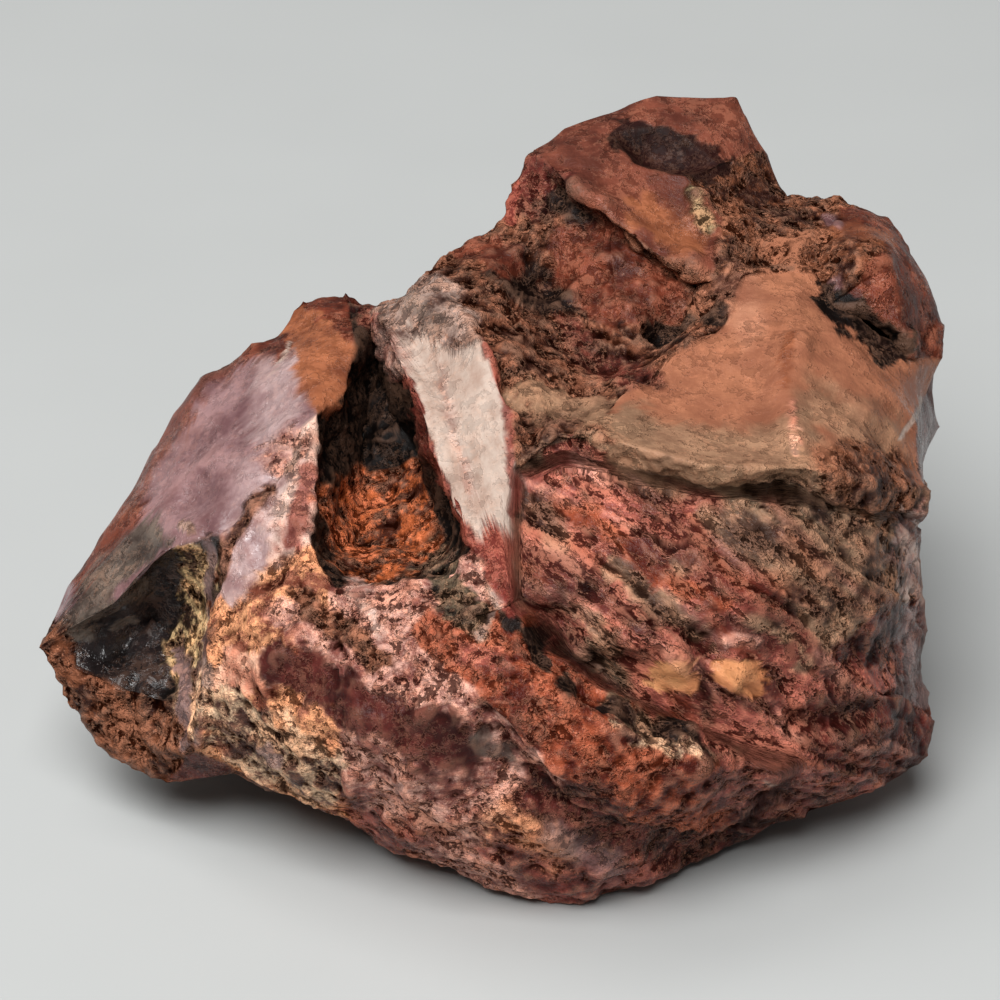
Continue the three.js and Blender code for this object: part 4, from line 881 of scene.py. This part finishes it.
def broken_stone(shape):
    """The stone's skin in the drawing's frame: the quilt, eased, broken, carved, and then made gritty.

    Gives its points, its quads, the minerals' names, the share of each at each point, and what else the
    material reads at each point: shift, from the one tone to the other, gloss, grit, relief and bedded.
    """
    points, quads, kinds, shares, border = welded(*quilt(shape.cells))
    net = Net(quads, len(points))
    rough, bedded = (shares @ np.array([float(kind.startswith(word)) for kind in kinds])
                     for word in ("rough", "bedded"))
    between_like = border & (shares.max(1) > 0.99)
    step = np.where(between_like, LIKE_STEP, np.where(border, shape.edge_step, shape.facet_step))
    points = net.eased(points, shape.softening, step[:, None])
    rough, bedded = net.eased(rough, passes=6), net.eased(bedded, passes=6)
    outward = outward_at(points, quads)
    names, weights = facet_minerals(points, net, kinds, shares)
    weights = stained(points, outward, names, weights)
    weights = veined(points, bedded, names, weights) ** 2
    weights /= weights.sum(1, keepdims=True)
    gloss, grit, pitted = (weights @ np.array([MINERALS[name][2:] for name in names])).T
    streaked = weights[:, names.index("cream")]

    unbroken = points
    points = points + (broad_relief(points, rough, bedded) - carving(points))[:, None] * outward
    outward = net.eased(outward_at(points, quads), passes=2)
    height = shape.fine * fine_relief(unbroken, rough, bedded, pitted, streaked)
    points = points + height[:, None] * outward

    outward = outward_at(points, quads)
    sharp, wide = (np.sum((points - net.eased(points, passes)) * outward, axis=1) for passes in (6, 24))
    relief = 2.0 * (height - net.eased(height, passes=60)) + 5.0 * sharp + 1.6 * wide
    relief = np.clip(relief, -1, 1) * (1 - 0.8 * streaked)
    shift = 0.5 + 0.45 * layered(unbroken, size=2.6, seed=401, layers=4)
    shift += streaked * 0.4 * layered(along_vein(unbroken), size=0.55, seed=405, layers=2)
    read = {"shift": shift, "gloss": gloss, "grit": grit, "relief": relief, "bedded": bedded}
    return points, quads, names, weights, read


def filled_mesh(name, points, quads):
    """A mesh of quads, with its points in metres."""
    mesh = bpy.data.meshes.new(name)
    mesh.vertices.add(len(points))
    mesh.vertices.foreach_set("co", points.astype(np.float32).ravel())
    mesh.loops.add(quads.size)
    mesh.loops.foreach_set("vertex_index", quads.astype(np.int32).ravel())
    mesh.polygons.add(len(quads))
    mesh.polygons.foreach_set("loop_start", np.arange(0, quads.size, 4, dtype=np.int32))
    mesh.update(calc_edges=True)
    mesh.validate()
    mesh.shade_smooth()
    return mesh


def store_colour(mesh, name, colours):
    """Keeps a colour for each point as an attribute."""
    layer = mesh.attributes.new(name, "FLOAT_COLOR", "POINT")
    opaque = np.column_stack([colours, np.ones(len(colours))])
    layer.data.foreach_set("color", opaque.astype(np.float32).ravel())


def store_value(mesh, name, values):
    """Keeps a number for each point as an attribute."""
    layer = mesh.attributes.new(name, "FLOAT", "POINT")
    layer.data.foreach_set("value", values.astype(np.float32))


# ---------------------------------------------------------------- materials

def linear(colour):
    """An sRGB colour in bytes as linear light."""
    c = np.asarray(colour, float) / 255
    return np.where(c <= 0.04045, c / 12.92, ((c + 0.055) / 1.055) ** 2.4)


class Tree:
    """A short way to place nodes, set their sockets and join them."""

    def __init__(self, tree):
        self.tree = tree

    def fill(self, socket, value):
        """Joins a socket to another, or sets its value."""
        if isinstance(value, bpy.types.NodeSocket):
            self.tree.links.new(value, socket)
        else:
            socket.default_value = value

    def node(self, kind, sockets=None, **settings):
        made = self.tree.nodes.new(kind)
        for name, value in settings.items():
            setattr(made, name, value)
        for key, value in (sockets or {}).items():
            self.fill(made.inputs[key], value)
        return made

    def attribute(self, name):
        return self.node("ShaderNodeAttribute", attribute_name=name).outputs

    def math(self, operation, a, b=0.0, clamp=False):
        return self.node("ShaderNodeMath", {0: a, 1: b}, operation=operation, use_clamp=clamp).outputs[0]

    def times(self, *factors):
        product = factors[0]
        for factor in factors[1:]:
            product = self.math("MULTIPLY", product, factor)
        return product

    def mix(self, factor, a, b, blend="MIX"):
        sockets = {"Factor": factor, 6: a, 7: b}
        return self.node("ShaderNodeMix", sockets, data_type="RGBA", blend_type=blend).outputs[2]

    def vector(self, operation, a, b):
        return self.node("ShaderNodeVectorMath", {0: a, 1: b}, operation=operation).outputs[0]

    def turned(self, vector, rotation):
        sockets = {"Vector": vector, "Rotation": rotation}
        return self.node("ShaderNodeMapping", sockets, vector_type="POINT").outputs[0]

    def remap(self, value, low, high, to_low=0.0, to_high=1.0):
        sockets = {"Value": value, "From Min": low, "From Max": high, "To Min": to_low, "To Max": to_high}
        return self.node("ShaderNodeMapRange", sockets, interpolation_type="SMOOTHSTEP").outputs[0]


def empty_material(name):
    """A material with no nodes, and its tree."""
    material = bpy.data.materials.new(name)
    material.use_nodes = True
    material.node_tree.nodes.clear()
    return material, Tree(material.node_tree)


def grain_group():
    """Node group: the grain of broken stone at a place, as masks and noises of about 0 to 1.

    Places are bent by noise, and drawn out along the beds where the stone is bedded. Mottle is broad noise.
    Tone is finer noise, with thin layers where the stone is bedded. Pits are where a noise is lowest, more in
    some patches than in others, with Rims around them, and Flecks are where another is highest. Crumb is
    fine rough noise, raised on the rims and lowered in the pits. Ripple is soft.
    """
    group = bpy.data.node_groups.new("stone_grain", "ShaderNodeTree")
    for name, kind in (("Place", "Vector"), ("Bedded", "Float")):
        group.interface.new_socket(name, in_out="INPUT", socket_type="NodeSocket" + kind)
    for name in ("Mottle", "Tone", "Pits", "Rims", "Flecks", "Crumb", "Ripple"):
        group.interface.new_socket(name, in_out="OUTPUT", socket_type="NodeSocketFloat")
    t = Tree(group)
    inputs = t.node("NodeGroupInput").outputs
    whole, bedded = inputs["Place"], inputs["Bedded"]

    def cloud(vector, size, detail, rough, output=0):
        sockets = {"Vector": vector, "Scale": 1 / (size * MM), "Detail": detail, "Roughness": rough}
        return t.node("ShaderNodeTexNoise", sockets).outputs[output]

    wander = t.vector("SUBTRACT", cloud(whole, size=1.0, detail=0, rough=0.5, output=1), (0.5, 0.5, 0.5))
    bent = t.vector("ADD", whole, t.vector("MULTIPLY", wander, (0.3 * MM,) * 3))
    upright = t.turned(bent, (math.radians(LEAN) - math.pi / 2, 0, 0))
    level = t.turned(upright, (0, 0, math.radians(BEDS["tilt"])))
    pressed_level = t.vector("MULTIPLY", level, (0.5, 1, 0.8))
    sockets = {0: bedded, 4: bent, 5: pressed_level}
    place = t.node("ShaderNodeMix", sockets, data_type="VECTOR").outputs[1]
    elsewhere = t.vector("ADD", place, (37 * MM, 11 * MM, 5 * MM))

    mottle = t.remap(cloud(whole, size=3.0, detail=4, rough=0.6), 0.32, 0.68)
    thin = cloud(t.vector("MULTIPLY", level, (0.12, 1, 0.5)), size=0.9, detail=4, rough=0.65)
    layers = t.remap(thin, 0.34, 0.66)
    tone = t.remap(cloud(place, size=1.1, detail=5, rough=0.75), 0.3, 0.7)
    tone = t.node("ShaderNodeMix", {0: t.times(bedded, 0.6), 2: tone, 3: layers}).outputs[0]
    patch = t.times(t.math("SUBTRACT", cloud(whole, size=3.0, detail=1, rough=0.5), 0.5), 0.5)
    holed = t.math("ADD", cloud(place, size=0.85, detail=4, rough=0.7), patch)
    pits = t.remap(holed, 0.475, 0.42)
    rims = t.times(t.remap(holed, 0.53, 0.495), t.math("SUBTRACT", 1.0, pits))
    flecked = t.math("SUBTRACT", cloud(elsewhere, size=0.55, detail=4, rough=0.7), patch)
    flecks = t.remap(flecked, 0.55, 0.63)
    crumb = t.math("SUBTRACT", cloud(elsewhere, size=0.7, detail=4, rough=0.7), t.times(pits, 0.35))
    crumb = t.math("ADD", crumb, t.times(rims, 0.15))
    ripple = cloud(elsewhere, size=1.6, detail=3, rough=0.55)
    t.node("NodeGroupOutput", {
        "Mottle": mottle, "Tone": tone, "Pits": pits, "Rims": rims, "Flecks": flecks, "Crumb": crumb,
        "Ripple": ripple,
    })
    return group


def jasper_material(looks):
    """The stone: two tones mixed by mottle and grain, with painted shade and grime in pits and hollows, and
    painted highlight and wear on rims, raised edges and flecks.
    """
    material, t = empty_material("jasper")
    grit, gloss, relief, bedded, shift = (
        t.attribute(name)["Fac"] for name in ("grit", "gloss", "relief", "bedded", "shift"))
    place = t.node("ShaderNodeTexCoord").outputs["Object"]
    sockets = {"Place": place, "Bedded": bedded}
    group = t.node("ShaderNodeGroup", node_tree=grain_group())
    for name, value in sockets.items():
        t.fill(group.inputs[name], value)
    grain = group.outputs

    # the two tones
    swing = t.times(t.math("SUBTRACT", grain["Mottle"], 0.5), looks.mottle)
    speckled = t.math("ADD", grit, 0.35)
    swing = t.math("ADD", swing, t.times(t.math("SUBTRACT", grain["Tone"], 0.5), speckled, looks.grains))
    soft = t.math("SUBTRACT", 0.6, t.times(grit, 0.15))
    blend = t.remap(t.math("ADD", shift, swing), t.math("SUBTRACT", 0.5, soft), t.math("ADD", 0.5, soft))
    colour = t.mix(blend, t.attribute("tone_a")["Color"], t.attribute("tone_b")["Color"])

    # painted shade and grime in what is low, painted highlight and wear on what is high, both stronger on
    # gritty stone
    darkened = t.mix(1.0, colour, SHADE_AND_GRIME_TINT, "MULTIPLY")
    lightened = t.mix(0.35, t.mix(1.0, colour, HIGHLIGHT_AND_WEAR_TINT, "MULTIPLY"), (*linear(HIGHLIGHT_AND_DUST), 1))
    gritty = t.math("ADD", t.times(grit, 1.2), 0.06, clamp=True)
    low = t.times(t.math("MAXIMUM", grain["Pits"], t.remap(relief, 0.05, -0.75)), gritty)
    high = t.math("MAXIMUM", t.times(grain["Rims"], 0.4), t.times(grain["Flecks"], 0.75))
    high = t.math("MAXIMUM", high, t.times(t.remap(relief, 0.0, 0.9), 0.7))
    colour = t.mix(t.times(low, looks.grime), colour, darkened)
    colour = t.mix(t.times(high, gritty, looks.wear), colour, lightened)

    # shine on what is glossy, none in the pits
    dull = t.remap(gloss, 0.0, 1.0, 0.7, 0.2)
    rough = t.math("SUBTRACT", dull, t.times(t.math("ADD", grain["Tone"], grain["Flecks"]), 0.18), clamp=True)
    shine = t.remap(gloss, 0.45, 0.9, looks.shine * 0.2, looks.shine)
    shine = t.times(shine, t.math("SUBTRACT", 1.0, low))
    height = t.math("ADD", t.times(grain["Crumb"], grit), t.times(grain["Ripple"], 0.35))
    bump = t.node("ShaderNodeBump", {"Strength": 1.0, "Distance": looks.crumb * MM, "Height": height})
    shader = t.node("ShaderNodeBsdfPrincipled", {
        "Base Color": colour, "Roughness": rough, "Normal": bump.outputs[0], "IOR": 1.54, "Metallic": 0.0,
        "Specular IOR Level": shine,
    })
    t.node("ShaderNodeOutputMaterial", {"Surface": shader.outputs[0]})
    return material


def floor_material(studio):
    """Plain pale floor: one colour with a faint mottle, and no shine."""
    material, t = empty_material("floor")
    place = t.node("ShaderNodeTexCoord").outputs["Object"]
    faint = t.node("ShaderNodeTexNoise", {"Vector": place, "Scale": 60.0, "Detail": 2.0}).outputs[0]
    base = (*studio.floor_colour, 1)
    shaded = (*[0.94 * c for c in studio.floor_colour], 1)
    shader = t.node("ShaderNodeBsdfPrincipled", {"Base Color": t.mix(faint, base, shaded), "Roughness": 0.85})
    t.node("ShaderNodeOutputMaterial", {"Surface": shader.outputs[0]})
    return material


# ---------------------------------------------------------------- settings

class JasperShape(bpy.types.PropertyGroup):
    """How finely the stone's skin is worked."""

    cells: bpy.props.IntProperty(
        name="Cells", description="Steps along each side of a facet's patches", default=12, min=2, max=12)
    softening: bpy.props.IntProperty(
        name="Softening", description="How many times the facets are eased into each other", default=9, min=0)
    facet_step: bpy.props.FloatProperty(
        name="Facet step", description="How far a pass moves a point inside a facet", default=0.5,
        subtype="FACTOR")
    edge_step: bpy.props.FloatProperty(
        name="Edge step", description="How far a pass moves a point between two kinds of facet", default=0.12,
        subtype="FACTOR")
    fine: bpy.props.FloatProperty(
        name="Fine relief", description="Height of the crags, laminae, holes and streaks", default=1.0, min=0)


class JasperLooks(bpy.types.PropertyGroup):
    """The stone's finish, and the two tones of each of its minerals."""

    __annotations__ = {
        "mottle": bpy.props.FloatProperty(
            name="Mottle", description="How strongly the two tones alternate", default=0.6, min=0),
        # how strongly painted shade, with grime, darkens the stone between grains and in hollows
        "grime": bpy.props.FloatProperty(
            name="Grime", description="How dark the stone is between grains and in hollows", default=0.95,
            subtype="FACTOR"),
        "grains": bpy.props.FloatProperty(
            name="Grains", description="How much the tone changes from grain to grain", default=0.9, min=0),
        # how strongly painted highlight, with wear, lightens the raised rims and edges
        "wear": bpy.props.FloatProperty(
            name="Wear", description="How pale the raised rims and edges are", default=0.85,
            subtype="FACTOR"),
        "crumb": bpy.props.FloatProperty(
            name="Crumb", description="Depth of the finest grain, in millimetres", default=0.5, min=0),
        "shine": bpy.props.FloatProperty(
            name="Shine", description="How strongly the glossiest stone mirrors the light", default=0.5,
            min=0),
    }
    for mineral, (pale, dark, *finish) in MINERALS.items():
        for side, tone in (("pale", pale), ("dark", dark)):
            __annotations__[f"{mineral}_{side}"] = bpy.props.FloatVectorProperty(
                name=f"{mineral.capitalize()}, {side}", description=f"The {side} tone of the {mineral} stone",
                default=tuple(linear(tone)), subtype="COLOR", min=0, max=1)


class JasperStudio(bpy.types.PropertyGroup):
    """The floor, the lights and the camera."""

    floor_colour: bpy.props.FloatVectorProperty(
        name="Floor", description="The floor's colour", default=tuple(linear((179, 181, 180))),
        subtype="COLOR")
    key_power: bpy.props.FloatProperty(
        name="Key light", description="Power of the large soft light above and behind", default=1.45,
        unit="POWER")
    fill_power: bpy.props.FloatProperty(
        name="Fill light", description="Power of the soft light in front", default=7.6, unit="POWER")
    sky: bpy.props.FloatProperty(
        name="Sky", description="Strength of the pale light from all around", default=0.13, min=0)


# ---------------------------------------------------------------- operators

class JASPER_OT_stone(bpy.types.Operator):
    """Make the stone"""

    bl_idname = "jasper.stone"
    bl_label = "Rough jasper"

    def execute(self, context):
        looks = context.scene.jasper_looks
        points, quads, names, weights, read = broken_stone(context.scene.jasper_shape)
        mesh = filled_mesh("jasper_stone", fitted(stand(points), cad_box) * MM, quads)
        for name, side in (("tone_a", "pale"), ("tone_b", "dark")):
            tones = np.array([getattr(looks, f"{mineral}_{side}") for mineral in names])
            store_colour(mesh, name, weights @ tones)
        for name, values in read.items():
            store_value(mesh, name, values)
        mesh.materials.append(jasper_material(looks))
        stone = bpy.data.objects.new("jasper_stone", mesh)
        context.scene.collection.objects.link(stone)
        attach(stone, "root")
        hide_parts("jasper")
        return {"FINISHED"}


def facing(made, place, target):
    """Puts an object at a place and turns it to look at a target, with its top up."""
    made.location = place
    made.rotation_euler = (target - Vector(place)).to_track_quat("-Z", "Y").to_euler()
    return made


class JASPER_OT_stage(bpy.types.Operator):
    """Make the floor, the lights and the camera"""

    bl_idname = "jasper.stage"
    bl_label = "Stage"

    def execute(self, context):
        scene, studio = context.scene, context.scene.jasper_studio
        low, high = cad_box
        side = FLOOR_REACH * max(high - low)
        mesh = bpy.data.meshes.new("floor")
        corners = [(-side, -side, 0), (side, -side, 0), (side, side, 0), (-side, side, 0)]
        mesh.from_pydata(corners, [], [(0, 1, 2, 3)])
        mesh.materials.append(floor_material(studio))
        floor = bpy.data.objects.new("floor", mesh)
        scene.collection.objects.link(floor)

        lean = math.radians(LEAN)
        centre = Vector((-PLAN_MIDDLE[0], -PLAN_MIDDLE[1], REST_DROP)) * MM
        towards = Vector((0, -math.cos(lean), math.sin(lean)))
        camera = bpy.data.objects.new("camera", bpy.data.cameras.new("camera"))
        camera.data.sensor_width = SENSOR_WIDTH
        camera.data.lens = SENSOR_WIDTH * EYE_DISTANCE / VIEW_WIDTH
        camera.data.clip_start = 0.01
        scene.collection.objects.link(facing(camera, centre + towards * EYE_DISTANCE * MM, centre))
        scene.camera = camera

        for name, power in (("key", studio.key_power), ("fill", studio.fill_power)):
            lamp = bpy.data.objects.new(name, bpy.data.lights.new(name, "AREA"))
            lamp.data.energy = power
            lamp.data.size, place = LAMPS[name]
            scene.collection.objects.link(facing(lamp, place, centre))
        world = bpy.data.worlds.new("sky")
        world.use_nodes = True
        background = world.node_tree.nodes["Background"].inputs
        background["Color"].default_value = SKY_TINT
        background["Strength"].default_value = studio.sky
        scene.world = world
        scene.view_settings.view_transform = "Standard"
        return {"FINISHED"}


class JASPER_PT_panel(bpy.types.Panel):
    """The stone's settings and makers"""

    bl_idname = "JASPER_PT_panel"
    bl_label = "Rough jasper"
    bl_space_type = "VIEW_3D"
    bl_region_type = "UI"
    bl_category = "Jasper"

    def draw(self, context):
        for group in (context.scene.jasper_shape, context.scene.jasper_looks, context.scene.jasper_studio):
            box = self.layout.box()
            for name in group.__annotations__:
                box.prop(group, name)
        for maker in (JASPER_OT_stone, JASPER_OT_stage):
            self.layout.operator(maker.bl_idname)


GROUPS = {"jasper_shape": JasperShape, "jasper_looks": JasperLooks, "jasper_studio": JasperStudio}
CLASSES = (*GROUPS.values(), JASPER_OT_stone, JASPER_OT_stage, JASPER_PT_panel)


def register():
    for made in CLASSES:
        bpy.utils.register_class(made)
    for name, group in GROUPS.items():
        setattr(bpy.types.Scene, name, bpy.props.PointerProperty(type=group))


def unregister():
    for name in GROUPS:
        delattr(bpy.types.Scene, name)
    for made in reversed(CLASSES):
        bpy.utils.unregister_class(made)


def main():
    register()
    bpy.ops.jasper.stone()
    bpy.ops.jasper.stage()


if __name__ == "__main__":
    main()
